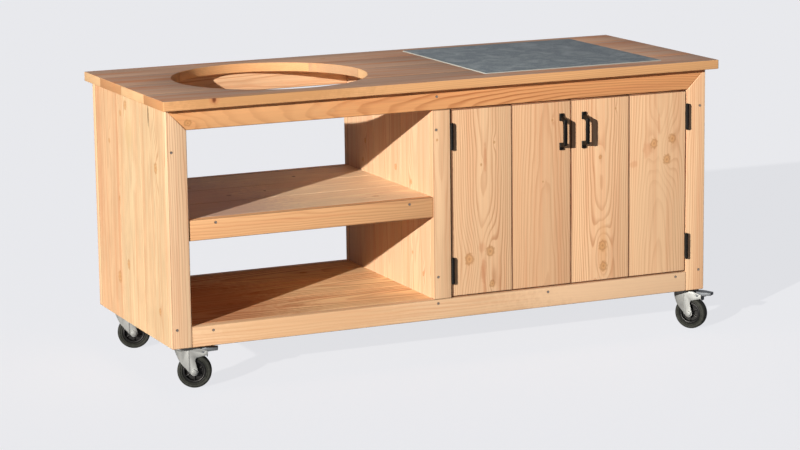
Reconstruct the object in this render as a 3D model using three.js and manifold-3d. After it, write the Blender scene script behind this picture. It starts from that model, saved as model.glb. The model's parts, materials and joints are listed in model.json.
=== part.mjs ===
// Kamado grill table: a larch cabinet on four swivel casters. The worktop has a round cut-out for a
// kamado on the left and an inset stone slab on the right; below are an open bay with a mid shelf and
// a cupboard with two plank doors.
// Millimetres, +Z up, X along the table, front towards -Y. All pieces are placed from the cabinet's
// front left bottom corner: X from its left end, Y from the front of its face frame, Z from the floor.

import * as THREE from "three";
import { mergeVertices } from "three/addons/utils/BufferGeometryUtils.js";
import Module from "manifold-3d";

const wasm = await Module();
wasm.setup();

// Worktop
const overhang_left = 17;
const overhang_right = 33;
const overhang_front = 25;
const overhang_rear = 25;
const worktop_corner_radius = 4;
const slab_thickness = 30;
const slab_from_right = 160;
const slab_from_front = 73;
const slab_from_rear = 47;
const slab_clearance = 1;
const slab_ease = 1.5;
const batten_width = 45;

// Shares of the worktop's depth, for its planks and its round cut-out, and of its length
const front_plank_share = 0.2326;
const second_plank_share = 0.2799;
const third_plank_share = 0.2701;
const cutout_share = 0.8125;
const cutout_centre_share = 0.2567;
const slab_length_share = 1 / 3;

// Cabinet
const cabinet_length = 1750;
const cabinet_depth = 670;
const cabinet_height = 692;
const board_thickness = 28;
const back_thickness = 18;
const rail_width = 61;
const left_stile_width = 59;
const middle_stile_width = 56;
const right_stile_width = 64;
const bay_share = 0.43857;
const lower_bay_height = 249;
const apron_setback = 4;
const front_panel_board_width = 207;
const middle_panel_board_width = 202;
const back_board_count = 4;
const bearer_width = 84;
const stop_drop = 12;
const stop_thickness = 18;

// Doors
const door_side_gap = 4;
const door_middle_gap = 3;
const door_top_gap = 3;
const door_bottom_gap = 4;
const door_board_gap = 1;
const door_batten_width = 70;
const door_batten_thickness = 20;
const door_batten_from_edge = 34;
const door_batten_from_end = 110;

// Door handles
const handle_pitch = 89;
const left_handle_from_door_edge = 32;
const right_handle_from_door_edge = 41;
const handle_from_door_top = 93;
const handle_reach = 32;
const handle_bar_depth = 10;
const handle_width = 11;
const handle_leg_height = 11;
const handle_foot_height = 22;
const handle_foot_width = 14;
const handle_foot_thickness = 6;
const handle_end_half = 40.5;
const handle_corner_radius = 6;
const handle_ease = 1.4;
const handle_curve_segments = 4;

// Butt hinges
const hinge_height = 76;
const hinge_from_door_end = 79;
const hinge_leaf_depth = 24;
const hinge_leaf_thickness = 1.4;
const hinge_leaf_spacing = 0.4;
const hinge_knuckle_radius = 5.5;
const knuckle_count = 5;
const hinge_pin_radius = 2.4;
const hinge_pin_head_radius = 4.2;
const hinge_pin_head_height = 2;
const hinge_pin_forward = 6;
const hinge_clearance = 0.3;

// Casters
const caster_height = 130;
const wheel_diameter = 100;
const wheel_width = 30;
const tyre_shoulder_radius = 6;
const rim_outer_radius = 38;
const rim_inner_radius = 33.5;
const rim_width = 26;
const hub_radius = 13;
const hub_width = 38.8;
const web_thickness = 6;
const rib_thickness = 3;
const rib_width = 18;
const axle_radius = 6;
const axle_head_radius = 8.5;
const axle_head_height = 5;
const trail = 34;
const caster_inset_left = 50;
const caster_inset_right = 42;
const caster_inset_front = 64;
const caster_inset_rear = 64;
const plate_length = 84;
const plate_width = 66;
const plate_thickness = 2.5;
const plate_corner_radius = 6;
const slot_length = 14;
const slot_width = 8.5;
const slot_pitch_long = 60;
const slot_pitch_wide = 44;
const race_radius = 26;
const race_height = 5.5;
const race_clearance = 0.5;
const cup_radius = 27;
const cup_height = 9;
const kingpin_radius = 6;
const kingpin_nut_radius = 10;
const kingpin_nut_height = 6;
const fork_width = 45;
const fork_sheet = 2.5;
const fork_boss_radius = 11.5;
const fork_crown_reach = 46;
const fork_skirt_reach = 75;
const fork_skirt_drop = 29;
const fork_skirt_end_drop = 21;
const fork_skirt_top_drop = 9;
const fork_lead_drop = 9;
const fork_elbow_reach = 15;
const fork_elbow_drop = 40;
const fork_leg_half_width = 3.5;
const fork_leg_top_drop = 37;
const fork_bead_reach = 19;
const fork_bead_radius = 2.6;
const fork_bead_sides = 8;
const fork_bead_top_drop = 7;
const running_clearance = 0.35;

// Brake pedals
const pedal_pivot_reach = 62;
const pedal_pivot_drop = 12;
const pedal_pivot_radius = 3;
const pedal_eye_radius = 5.5;
const pedal_reach = 103;
const pedal_sheet = 2.5;
const pedal_width = 36;
const pedal_tip_width = 24;
const pedal_eye_start = THREE.MathUtils.degToRad(30);
const pedal_start_reach = 57;
const pedal_rise = 12;
const pedal_slope_drop = 2;
const pedal_lip_height = 8;
const shoe_reach = 73;
const shoe_width = 20;
const shoe_drop = 29;

// Clearances, easings and steps
const joint_gap = 0.3;
const plank_ease = 1.2;
const board_ease = 1.6;
const groove_depth = 2;
const overrun = 5;
const arc_step = THREE.MathUtils.degToRad(5);
const bend_step = THREE.MathUtils.degToRad(15);
const boss_step = THREE.MathUtils.degToRad(20);
const slot_step = THREE.MathUtils.degToRad(30);
const shoulder_step = THREE.MathUtils.degToRad(45);
const wheel_sides = 24;
const round_sides = 12;
const hexagon_sides = 6;
const rib_count = 6;

// Directions in which the casters stand in the photograph, as turns from trailing to the right
const front_left_turn = THREE.MathUtils.degToRad(-23);
const rear_left_turn = THREE.MathUtils.degToRad(-20);
const front_right_turn = THREE.MathUtils.degToRad(-53);
const rear_right_turn = THREE.MathUtils.degToRad(-35);

// Levels and places that follow from the sizes
const cabinet_bottom = caster_height;
const cabinet_top = cabinet_bottom + cabinet_height;
const board_top = cabinet_top - joint_gap;
const top_rail_bottom = cabinet_top - rail_width;
const bottom_rail_top = cabinet_bottom + rail_width;
const apron_bottom = bottom_rail_top + lower_bay_height;
const shelf_top = apron_bottom + rail_width;
const bottom_boards_underside = bottom_rail_top - board_thickness;
const shelf_underside = shelf_top - board_thickness;
const slab_frame_bottom = board_top - board_thickness;

const worktop_left = -overhang_left;
const worktop_right = cabinet_length + overhang_right;
const worktop_length = worktop_right - worktop_left;
const worktop_front = -overhang_front;
const worktop_rear = cabinet_depth + overhang_rear;
const worktop_depth = worktop_rear - worktop_front;
const front_joint = worktop_front + worktop_depth * front_plank_share;
const middle_joint = front_joint + worktop_depth * second_plank_share;
const rear_joint = middle_joint + worktop_depth * third_plank_share;
const cutout_radius = (worktop_depth * cutout_share) / 2;
const cutout_x = worktop_left + worktop_length * cutout_centre_share;
const cutout_y = worktop_front + worktop_depth / 2;
const slab_right = worktop_right - slab_from_right;
const slab_left = slab_right - worktop_length * slab_length_share;
const slab_front = worktop_front + slab_from_front;
const slab_rear = worktop_rear - slab_from_rear;

const bay_left = left_stile_width;
const partition_left = bay_left + cabinet_length * bay_share;
const partition_right = partition_left + board_thickness;
const doorway_left = partition_left + middle_stile_width;
const doorway_right = cabinet_length - right_stile_width;
const inner_left = board_thickness + joint_gap;
const inner_right = cabinet_length - board_thickness - joint_gap;
const inner_front = board_thickness + joint_gap;
const inner_rear = cabinet_depth - board_thickness - joint_gap;

const doors_left = doorway_left + door_side_gap;
const doors_right = doorway_right - door_side_gap;
const doors_middle = (doors_left + doors_right) / 2;
const door_bottom = bottom_rail_top + door_bottom_gap;
const door_top = top_rail_bottom - door_top_gap;
const left_pin_x = doorway_left + door_side_gap / 2;
const right_pin_x = doorway_right - door_side_gap / 2;

// Finishes
const larch = new THREE.MeshStandardMaterial({ color: 0xd9a066, roughness: 0.62, metalness: 0 });
const larch_worktop = new THREE.MeshStandardMaterial({ color: 0xc98d5c, roughness: 0.55, metalness: 0 });
const stone = new THREE.MeshStandardMaterial({ color: 0x5d676e, roughness: 0.6, metalness: 0 });
const black_steel = new THREE.MeshStandardMaterial({ color: 0x17181a, roughness: 0.5, metalness: 0.6 });
const zinc = new THREE.MeshStandardMaterial({ color: 0xb9bdbf, roughness: 0.32, metalness: 0.9 });
const rubber = new THREE.MeshStandardMaterial({ color: 0x1b1b1c, roughness: 0.8, metalness: 0 });

// Solids: joining, cutting and turning three.js geometry
function manifoldOf(geometry) {
  const bare = new THREE.BufferGeometry();
  bare.setAttribute("position", geometry.getAttribute("position").clone());
  if (geometry.index) bare.setIndex(geometry.index.clone());
  const merged = mergeVertices(bare);
  const corners = merged.index.array;
  const kept = [];
  for (let first = 0; first < corners.length; first += 3) {
    const [a, b, c] = corners.slice(first, first + 3);
    if (a !== b && b !== c && c !== a) kept.push(a, b, c);
  }
  const vertProperties = new Float32Array(merged.getAttribute("position").array);
  return new wasm.Manifold(new wasm.Mesh({ numProp: 3, vertProperties, triVerts: new Uint32Array(kept) }));
}

function geometryOf(manifold) {
  const result = manifold.getMesh();
  const geometry = new THREE.BufferGeometry();
  geometry.setAttribute("position", new THREE.BufferAttribute(new Float32Array(result.vertProperties), 3));
  geometry.setIndex(new THREE.BufferAttribute(new Uint32Array(result.triVerts), 1));
  geometry.computeVertexNormals();
  return geometry;
}

function join(...geometries) {
  const [first, ...others] = geometries.map(manifoldOf);
  return geometryOf(others.reduce((whole, piece) => whole.add(piece), first));
}

function cut(geometry, ...tools) {
  const [whole, ...others] = [geometry, ...tools].map(manifoldOf);
  return geometryOf(others.reduce((rest, tool) => rest.subtract(tool), whole));
}

function common(first, second) {
  return geometryOf(manifoldOf(first).intersect(manifoldOf(second)));
}

function polygon(points) {
  return new THREE.Shape(points.map(([x, y]) => new THREE.Vector2(x, y)));
}

function arcPoints(x, y, radius, from, to, step = arc_step) {
  const count = Math.max(1, Math.ceil(Math.abs(to - from) / step));
  const angles = Array.from({ length: count + 1 }, (_, index) => from + ((to - from) * index) / count);
  return angles.map((angle) => [x + radius * Math.cos(angle), y + radius * Math.sin(angle)]);
}

function rectangle(x, y) {
  return polygon([
    [x[0], y[0]],
    [x[1], y[0]],
    [x[1], y[1]],
    [x[0], y[1]],
  ]);
}

function extruded(shape, depth) {
  return new THREE.ExtrudeGeometry(shape, { depth, steps: 1, bevelEnabled: false });
}

// A flat piece cut to an outline, from z = 0 up, with every edge eased
function easedPlate(shape, thickness, ease) {
  const geometry = new THREE.ExtrudeGeometry(shape, {
    depth: thickness - 2 * ease,
    steps: 1,
    bevelEnabled: true,
    bevelThickness: ease,
    bevelSize: ease,
    bevelOffset: -ease,
    bevelSegments: 1,
  });
  geometry.translate(0, 0, ease);
  return geometry;
}

// A revolved piece: profile points are [radius, height], turned about Z
function revolved(profile, sides) {
  const points = profile.map(([radius, height]) => new THREE.Vector2(radius, height));
  const geometry = new THREE.LatheGeometry(points, sides);
  geometry.rotateX(Math.PI / 2);
  return geometry;
}

// A round bar about Z, from one level to another
function roundBar(radius, from, to, sides = round_sides) {
  const geometry = new THREE.CylinderGeometry(radius, radius, to - from, sides);
  geometry.rotateX(Math.PI / 2);
  geometry.translate(0, 0, (from + to) / 2);
  return geometry;
}

function boxFrom(x, y, z) {
  const geometry = new THREE.BoxGeometry(x[1] - x[0], y[1] - y[0], z[1] - z[0]);
  geometry.translate((x[0] + x[1]) / 2, (y[0] + y[1]) / 2, (z[0] + z[1]) / 2);
  return geometry;
}

function addMesh(parent, name, geometry, material) {
  const mesh = new THREE.Mesh(geometry, material);
  mesh.name = name;
  parent.add(mesh);
  return mesh;
}

// Boards: a section across the grain, extruded along it and turned into place
const directions = {
  x: new THREE.Vector3(1, 0, 0),
  y: new THREE.Vector3(0, 1, 0),
  z: new THREE.Vector3(0, 0, 1),
};

function middleOf([from, to]) {
  return (from + to) / 2;
}

function sizeOf([from, to]) {
  return to - from;
}

// The section of boards laid edge to edge, with a V groove at each joint on both faces
function boardSection(widths, thickness) {
  const total = widths.reduce((sum, width) => sum + width, 0);
  const half = thickness / 2;
  const joints = [];
  widths.slice(0, -1).reduce((edge, width) => {
    joints.push(edge + width);
    return edge + width;
  }, -total / 2);
  const upper = joints.flatMap((at) => [
    [at - groove_depth, half],
    [at, half - groove_depth],
    [at + groove_depth, half],
  ]);
  const lower = [...upper].reverse().map(([x, y]) => [x, -y]);
  return polygon([
    [-total / 2, half - board_ease],
    [-total / 2 + board_ease, half],
    ...upper,
    [total / 2 - board_ease, half],
    [total / 2, half - board_ease],
    [total / 2, board_ease - half],
    [total / 2 - board_ease, -half],
    ...lower,
    [-total / 2 + board_ease, -half],
    [-total / 2, board_ease - half],
  ]);
}

// One board or several joined boards that fill a span, with the grain along one axis
function addBoards(parent, name, span, grain, across, widths = [sizeOf(span[across])]) {
  const thick = Object.keys(span).find((axis) => axis !== grain && axis !== across);
  const geometry = extruded(boardSection(widths, sizeOf(span[thick])), sizeOf(span[grain]));
  geometry.translate(0, 0, -sizeOf(span[grain]) / 2);
  const mesh = addMesh(parent, name, geometry, larch);
  const depthwise = new THREE.Vector3().crossVectors(directions[grain], directions[across]);
  const basis = new THREE.Matrix4().makeBasis(directions[across], depthwise, directions[grain]);
  mesh.quaternion.setFromRotationMatrix(basis);
  mesh.position.set(middleOf(span.x), middleOf(span.y), middleOf(span.z));
}

// Splits a span's width into boards of the given widths, the last one taking the rest
function boardWidths(total, ...first) {
  return [...first, total - first.reduce((sum, width) => sum + width, 0)];
}

const table = new THREE.Group();
const cabinet = new THREE.Group();
table.add(cabinet);

// Worktop planks, cut round the kamado's opening and the slab
function addWorktopPlank(name, points, joint) {
  const plank = easedPlate(polygon(points), board_thickness, plank_ease);
  const geometry = joint === undefined ? plank : cut(plank, ...jointGrooves(joint));
  addMesh(cabinet, name, geometry, larch_worktop).position.z = cabinet_top;
}

// V grooves along both faces of the worktop where two joined boards meet
function jointGrooves(joint) {
  const half = plank_ease + joint_gap / 2;
  return [0, board_thickness].map((face) => {
    const groove = polygon([
      [-half, 0],
      [0, -half],
      [half, 0],
      [0, half],
    ]);
    const tool = extruded(groove, worktop_length + 2 * overrun);
    tool.rotateX(Math.PI / 2);
    tool.rotateZ(Math.PI / 2);
    tool.translate(worktop_left - overrun, joint, face);
    return tool;
  });
}

function roundCorner(x, y, turnX, turnY, from) {
  const inset = worktop_corner_radius;
  return arcPoints(x + turnX * inset, y + turnY * inset, inset, from, from + Math.PI / 2, slot_step);
}

// The angle at which the round cut-out meets a line along the worktop
function cutoutAngle(y) {
  return Math.asin((y - cutout_y) / cutout_radius);
}

function cutoutArc(from, to) {
  return arcPoints(cutout_x, cutout_y, cutout_radius, from, to);
}

function addWorktop() {
  const slab_hole_left = slab_left - slab_clearance;
  const slab_hole_right = slab_right + slab_clearance;
  const slab_hole_front = slab_front - slab_clearance;
  const slab_hole_rear = slab_rear + slab_clearance;
  const half_gap = joint_gap / 2;

  const front_edge = front_joint - half_gap;
  addWorktopPlank("worktop_front_plank", [
    ...roundCorner(worktop_left, worktop_front, 1, 1, Math.PI),
    ...roundCorner(worktop_right, worktop_front, -1, 1, -Math.PI / 2),
    [worktop_right, front_edge],
    [slab_hole_right, front_edge],
    [slab_hole_right, slab_hole_front],
    [slab_hole_left, slab_hole_front],
    [slab_hole_left, front_edge],
    ...cutoutArc(cutoutAngle(front_edge), -Math.PI - cutoutAngle(front_edge)),
    [worktop_left, front_edge],
  ]);

  const rear_edge = rear_joint + half_gap;
  addWorktopPlank("worktop_rear_plank", [
    [worktop_left, rear_edge],
    ...cutoutArc(Math.PI - cutoutAngle(rear_edge), cutoutAngle(rear_edge)),
    [slab_hole_left, rear_edge],
    [slab_hole_left, slab_hole_rear],
    [slab_hole_right, slab_hole_rear],
    [slab_hole_right, rear_edge],
    [worktop_right, rear_edge],
    ...roundCorner(worktop_right, worktop_rear, -1, -1, 0),
    ...roundCorner(worktop_left, worktop_rear, 1, -1, Math.PI / 2),
  ]);

  const front = front_joint + half_gap;
  const rear = rear_joint - half_gap;
  const front_angle = cutoutAngle(front);
  const rear_angle = cutoutAngle(rear);
  const left_boards = [
    [worktop_left, front],
    ...cutoutArc(Math.PI - front_angle, Math.PI - rear_angle),
    [worktop_left, rear],
  ];
  const middle_boards = [
    ...cutoutArc(rear_angle, front_angle),
    [slab_hole_left, front],
    [slab_hole_left, rear],
  ];
  const right_boards = [
    [slab_hole_right, front],
    [worktop_right, front],
    [worktop_right, rear],
    [slab_hole_right, rear],
  ];
  addWorktopPlank("worktop_left_boards", left_boards, middle_joint);
  addWorktopPlank("worktop_middle_boards", middle_boards, middle_joint);
  addWorktopPlank("worktop_right_boards", right_boards, middle_joint);

  const slab_outline = rectangle([slab_left, slab_right], [slab_front, slab_rear]);
  const slab = easedPlate(slab_outline, slab_thickness, slab_ease);
  addMesh(cabinet, "stone_slab", slab, stone).position.z = cabinet_top;
}

// The frame that carries the slab and the plank ends beside it
function addSlabFrame() {
  const outer_x = [slab_left - batten_width / 2, slab_right + batten_width / 2];
  const outline = rectangle(outer_x, [inner_front, inner_rear]);
  const hole_x = [slab_left + batten_width / 2, slab_right - batten_width / 2];
  outline.holes.push(rectangle(hole_x, [inner_front + batten_width, inner_rear - batten_width]));
  const frame = easedPlate(outline, board_thickness, board_ease);
  addMesh(cabinet, "slab_support_frame", frame, larch).position.z = slab_frame_bottom;
}

// A face frame: mitred top rail and outer stiles, bottom rail and middle stile butted between them
function addFaceFrame(side, front, apron_front) {
  const thickness = [front, front + board_thickness];
  const mitre_gap = joint_gap * Math.SQRT2;
  const addMitred = (name, points) => {
    const mesh = addMesh(cabinet, name, easedPlate(polygon(points), board_thickness, board_ease), larch);
    mesh.rotation.x = Math.PI / 2;
    mesh.position.y = thickness[1];
  };
  addMitred(`${side}_left_stile`, [
    [0, cabinet_bottom],
    [left_stile_width, cabinet_bottom],
    [left_stile_width, top_rail_bottom - joint_gap],
    [0, board_top],
  ]);
  addMitred(`${side}_right_stile`, [
    [doorway_right, cabinet_bottom],
    [cabinet_length, cabinet_bottom],
    [cabinet_length, board_top],
    [doorway_right, top_rail_bottom - joint_gap],
  ]);
  addMitred(`${side}_top_rail`, [
    [left_stile_width + mitre_gap, top_rail_bottom],
    [doorway_right - mitre_gap, top_rail_bottom],
    [cabinet_length - mitre_gap, board_top],
    [mitre_gap, board_top],
  ]);
  const between_stiles = [left_stile_width + joint_gap, doorway_right - joint_gap];
  const members = [
    [`${side}_bottom_rail`, between_stiles, thickness, [cabinet_bottom, bottom_rail_top], "x", "z"],
    [
      `${side}_middle_stile`,
      [partition_left, doorway_left],
      thickness,
      [bottom_rail_top + joint_gap, top_rail_bottom - joint_gap],
      "z",
      "x",
    ],
    [
      `${side}_shelf_apron`,
      [bay_left + joint_gap, partition_left - joint_gap],
      [apron_front, apron_front + board_thickness],
      [apron_bottom, shelf_top],
      "x",
      "z",
    ],
  ];
  for (const [name, x, y, z, grain, across] of members) {
    addBoards(cabinet, name, { x, y, z }, grain, across);
  }
}

// Side panels, partition, bottom, shelf and cupboard back, each of several boards
function addPanels() {
  const depth = [inner_front, inner_rear];
  const depth_boards = boardWidths(sizeOf(depth), front_panel_board_width, middle_panel_board_width);
  const panels = [
    ["left_side_panel", [0, board_thickness], cabinet_bottom],
    ["right_side_panel", [cabinet_length - board_thickness, cabinet_length], cabinet_bottom],
    ["partition", [partition_left, partition_right], bottom_rail_top + joint_gap],
  ];
  for (const [name, x, bottom] of panels) {
    addBoards(cabinet, name, { x, y: depth, z: [bottom, board_top] }, "z", "y", depth_boards);
  }
  const bottom_z = [bottom_boards_underside, bottom_rail_top];
  const bottom_span = { x: [inner_left, inner_right], y: depth, z: bottom_z };
  addBoards(cabinet, "bottom_boards", bottom_span, "x", "y", depth_boards);

  const shelf_depth = [inner_front + apron_setback, inner_rear - apron_setback];
  const shelf_x = [inner_left, partition_left - joint_gap];
  const shelf_first = front_panel_board_width - apron_setback;
  const shelf_boards = boardWidths(sizeOf(shelf_depth), shelf_first, middle_panel_board_width);
  const shelf_span = { x: shelf_x, y: shelf_depth, z: [shelf_underside, shelf_top] };
  addBoards(cabinet, "shelf_boards", shelf_span, "x", "y", shelf_boards);

  const bearer_z = [cabinet_bottom, bottom_boards_underside - joint_gap];
  const left_bearer = { x: [inner_left, inner_left + bearer_width], y: depth, z: bearer_z };
  addBoards(cabinet, "left_caster_bearer", left_bearer, "y", "x");
  const right_bearer = { x: [inner_right - bearer_width, inner_right], y: depth, z: bearer_z };
  addBoards(cabinet, "right_caster_bearer", right_bearer, "y", "x");

  const cupboard = [partition_right + joint_gap, inner_right];
  const back_boards = Array(back_board_count).fill(sizeOf(cupboard) / back_board_count);
  const back_z = [bottom_rail_top + joint_gap, slab_frame_bottom - joint_gap];
  const back_span = { x: cupboard, y: [inner_rear - back_thickness, inner_rear], z: back_z };
  addBoards(cabinet, "cupboard_back", back_span, "z", "x", back_boards);

  const stop_span = {
    x: cupboard,
    y: [inner_front, inner_front + stop_thickness],
    z: [top_rail_bottom - stop_drop, slab_frame_bottom - joint_gap],
  };
  addBoards(cabinet, "door_stop", stop_span, "x", "z");
}

// One leaf of a butt hinge about its pin, which stands along Z at the origin. The leaf lies towards +Y,
// on the side of the pin that side_sign gives, and carries the knuckles at the given places from below.
function hingeLeaf(side_sign, knuckles, with_pin) {
  const pitch = hinge_height / knuckle_count;
  const bottom = -hinge_height / 2;
  const near = (side_sign * hinge_leaf_spacing) / 2;
  const far = near + side_sign * hinge_leaf_thickness;
  const leaf_x = [Math.min(near, far), Math.max(near, far)];
  const leaf_front = hinge_pin_forward + joint_gap;
  const pieces = [boxFrom(leaf_x, [leaf_front, leaf_front + hinge_leaf_depth], [bottom, -bottom])];
  const bore_radius = hinge_pin_radius + hinge_clearance;
  for (const place of knuckles) {
    const level = bottom + place * pitch;
    const z = [level + hinge_clearance / 2, level + pitch - hinge_clearance / 2];
    pieces.push(roundBar(hinge_knuckle_radius, z[0], z[1]));
    pieces.push(boxFrom(leaf_x, [0, leaf_front + hinge_leaf_thickness], z));
  }
  if (!with_pin) return cut(join(...pieces), roundBar(bore_radius, bottom - overrun, overrun - bottom));
  const head = [-bottom + hinge_clearance, -bottom + hinge_clearance + hinge_pin_head_height];
  return join(
    ...pieces,
    roundBar(hinge_pin_radius, -head[0], head[0]),
    roundBar(hinge_pin_head_radius, head[0], head[1]),
    roundBar(hinge_pin_head_radius, -head[1], -head[0]),
  );
}

const frame_leaf = hingeLeaf(-1, [0, 2, 4], false);
const door_leaf = hingeLeaf(1, [1, 3], true);
const hinge_levels = {
  lower: door_bottom + hinge_from_door_end,
  upper: door_top - hinge_from_door_end,
};

// The right door's hinges are the left door's turned over
function addHingeLeaves(parent, name, leaf, pin_x, turned_over) {
  for (const [level_name, level] of Object.entries(hinge_levels)) {
    const mesh = addMesh(parent, `${name}_${level_name}`, leaf, black_steel);
    mesh.position.set(pin_x, -hinge_pin_forward, level);
    mesh.rotation.y = turned_over ? Math.PI : 0;
  }
}

// A bow handle: a bar held off the door by two legs that run out to a foot each
function handleGeometry() {
  const leg_inner = (handle_pitch - handle_leg_height) / 2;
  const leg_outer = (handle_pitch + handle_leg_height) / 2;
  const grip_inner = handle_reach - handle_bar_depth;
  const end_inner = handle_end_half - handle_bar_depth;
  const corner = handle_corner_radius;
  const inner_corner = corner / 2;
  const side = new THREE.Shape();
  side.moveTo(0, leg_outer);
  side.lineTo(0, leg_inner);
  side.lineTo(grip_inner - inner_corner, end_inner);
  side.quadraticCurveTo(grip_inner, end_inner, grip_inner, end_inner - inner_corner);
  side.lineTo(grip_inner, inner_corner - end_inner);
  side.quadraticCurveTo(grip_inner, -end_inner, grip_inner - inner_corner, -end_inner);
  side.lineTo(0, -leg_inner);
  side.lineTo(0, -leg_outer);
  side.lineTo(handle_reach - corner, -handle_end_half);
  side.quadraticCurveTo(handle_reach, -handle_end_half, handle_reach, corner - handle_end_half);
  side.lineTo(handle_reach, handle_end_half - corner);
  side.quadraticCurveTo(handle_reach, handle_end_half, handle_reach - corner, handle_end_half);
  side.closePath();
  const bow = new THREE.ExtrudeGeometry(side, {
    depth: handle_width - 2 * handle_ease,
    steps: 1,
    curveSegments: handle_curve_segments,
    bevelEnabled: true,
    bevelThickness: handle_ease,
    bevelSize: handle_ease,
    bevelOffset: -handle_ease,
    bevelSegments: 1,
  });
  bow.translate(0, 0, handle_ease - handle_width / 2);
  const half_wide = handle_foot_width / 2;
  const half_high = handle_foot_height / 2;
  const feet = [-1, 1].map((sign) => {
    const outline = rectangle([-half_wide, half_wide], [-half_high, half_high]);
    const foot = easedPlate(outline, handle_foot_thickness, handle_ease);
    foot.rotateY(Math.PI / 2);
    foot.translate(0, (sign * handle_pitch) / 2, 0);
    return foot;
  });
  const beyond = handle_pitch + overrun;
  const clear_of_door = boxFrom([joint_gap, handle_reach + overrun], [-beyond, beyond], [-beyond, beyond]);
  return common(join(bow, ...feet), clear_of_door);
}

const outward_basis = new THREE.Matrix4().makeBasis(
  new THREE.Vector3(0, -1, 0),
  directions.z,
  new THREE.Vector3(-1, 0, 0),
);

// A door: two boards, two battens behind them, a handle and its half of the hinges
function addDoor(name, edges, pin_x, hinge_on_right, handle_x) {
  const door = new THREE.Group();
  table.add(door);
  const [left, right] = edges;
  const middle = (left + right) / 2;
  const left_board = [left, middle - door_board_gap / 2];
  const right_board = [middle + door_board_gap / 2, right];
  const y = [0, board_thickness];
  const z = [door_bottom, door_top];
  const [hinge_board, closing_board] = hinge_on_right ? [right_board, left_board] : [left_board, right_board];
  addBoards(door, `${name}_hinge_board`, { x: hinge_board, y, z }, "z", "x");
  addBoards(door, `${name}_closing_board`, { x: closing_board, y, z }, "z", "x");

  const batten_levels = {
    lower: door_bottom + door_batten_from_end,
    upper: door_top - door_batten_from_end,
  };
  for (const [level_name, level] of Object.entries(batten_levels)) {
    const span = {
      x: [left + door_batten_from_edge, right - door_batten_from_edge],
      y: [inner_front, inner_front + door_batten_thickness],
      z: [level - door_batten_width / 2, level + door_batten_width / 2],
    };
    addBoards(door, `${name}_batten_${level_name}`, span, "x", "z");
  }

  const handle = addMesh(door, `${name}_handle`, handleGeometry(), black_steel);
  handle.quaternion.setFromRotationMatrix(outward_basis);
  handle.position.set(handle_x, 0, door_top - handle_from_door_top);
  addHingeLeaves(door, `${name}_hinge_leaf`, door_leaf, pin_x, hinge_on_right);
}

// Caster pieces stand on their own frame: Z from the floor along the swivel axis, trailing towards +X
const axle_height = wheel_diameter / 2;
const plate_top = caster_height - joint_gap;
const plate_bottom = plate_top - plate_thickness;
const race_bottom = plate_bottom - race_height;
const crown_top = race_bottom - race_clearance;
const crown_bottom = crown_top - fork_sheet;
const fork_half = fork_width / 2;

function roundedRectangle(length, width, radius) {
  const half_x = length / 2 - radius;
  const half_y = width / 2 - radius;
  return polygon([
    ...arcPoints(half_x, -half_y, radius, -Math.PI / 2, 0, slot_step),
    ...arcPoints(half_x, half_y, radius, 0, Math.PI / 2, slot_step),
    ...arcPoints(-half_x, half_y, radius, Math.PI / 2, Math.PI, slot_step),
    ...arcPoints(-half_x, -half_y, radius, Math.PI, Math.PI + Math.PI / 2, slot_step),
  ]);
}

function casterPlateGeometry() {
  const outline = roundedRectangle(plate_length, plate_width, plate_corner_radius);
  const slot = roundedRectangle(slot_length, slot_width, slot_width / 2);
  const slots = [];
  for (const x of [-slot_pitch_long / 2, slot_pitch_long / 2]) {
    for (const y of [-slot_pitch_wide / 2, slot_pitch_wide / 2]) {
      const tool = extruded(slot, plate_thickness + 2 * overrun);
      tool.translate(x, y, plate_bottom - overrun);
      slots.push(tool);
    }
  }
  const plate = extruded(outline, plate_thickness);
  plate.translate(0, 0, plate_bottom);
  const race = revolved([
    [0, race_bottom],
    [race_radius - race_height, race_bottom],
    [race_radius, race_bottom + race_height / 2],
    [race_radius, plate_bottom + plate_thickness / 2],
    [0, plate_bottom + plate_thickness / 2],
  ], wheel_sides);
  const nut_top = crown_bottom - race_clearance;
  const kingpin = roundBar(kingpin_radius, nut_top - kingpin_nut_height / 2, plate_bottom);
  const nut = roundBar(kingpin_nut_radius, nut_top - kingpin_nut_height, nut_top, hexagon_sides);
  return join(cut(plate, ...slots), race, kingpin, nut);
}

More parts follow.
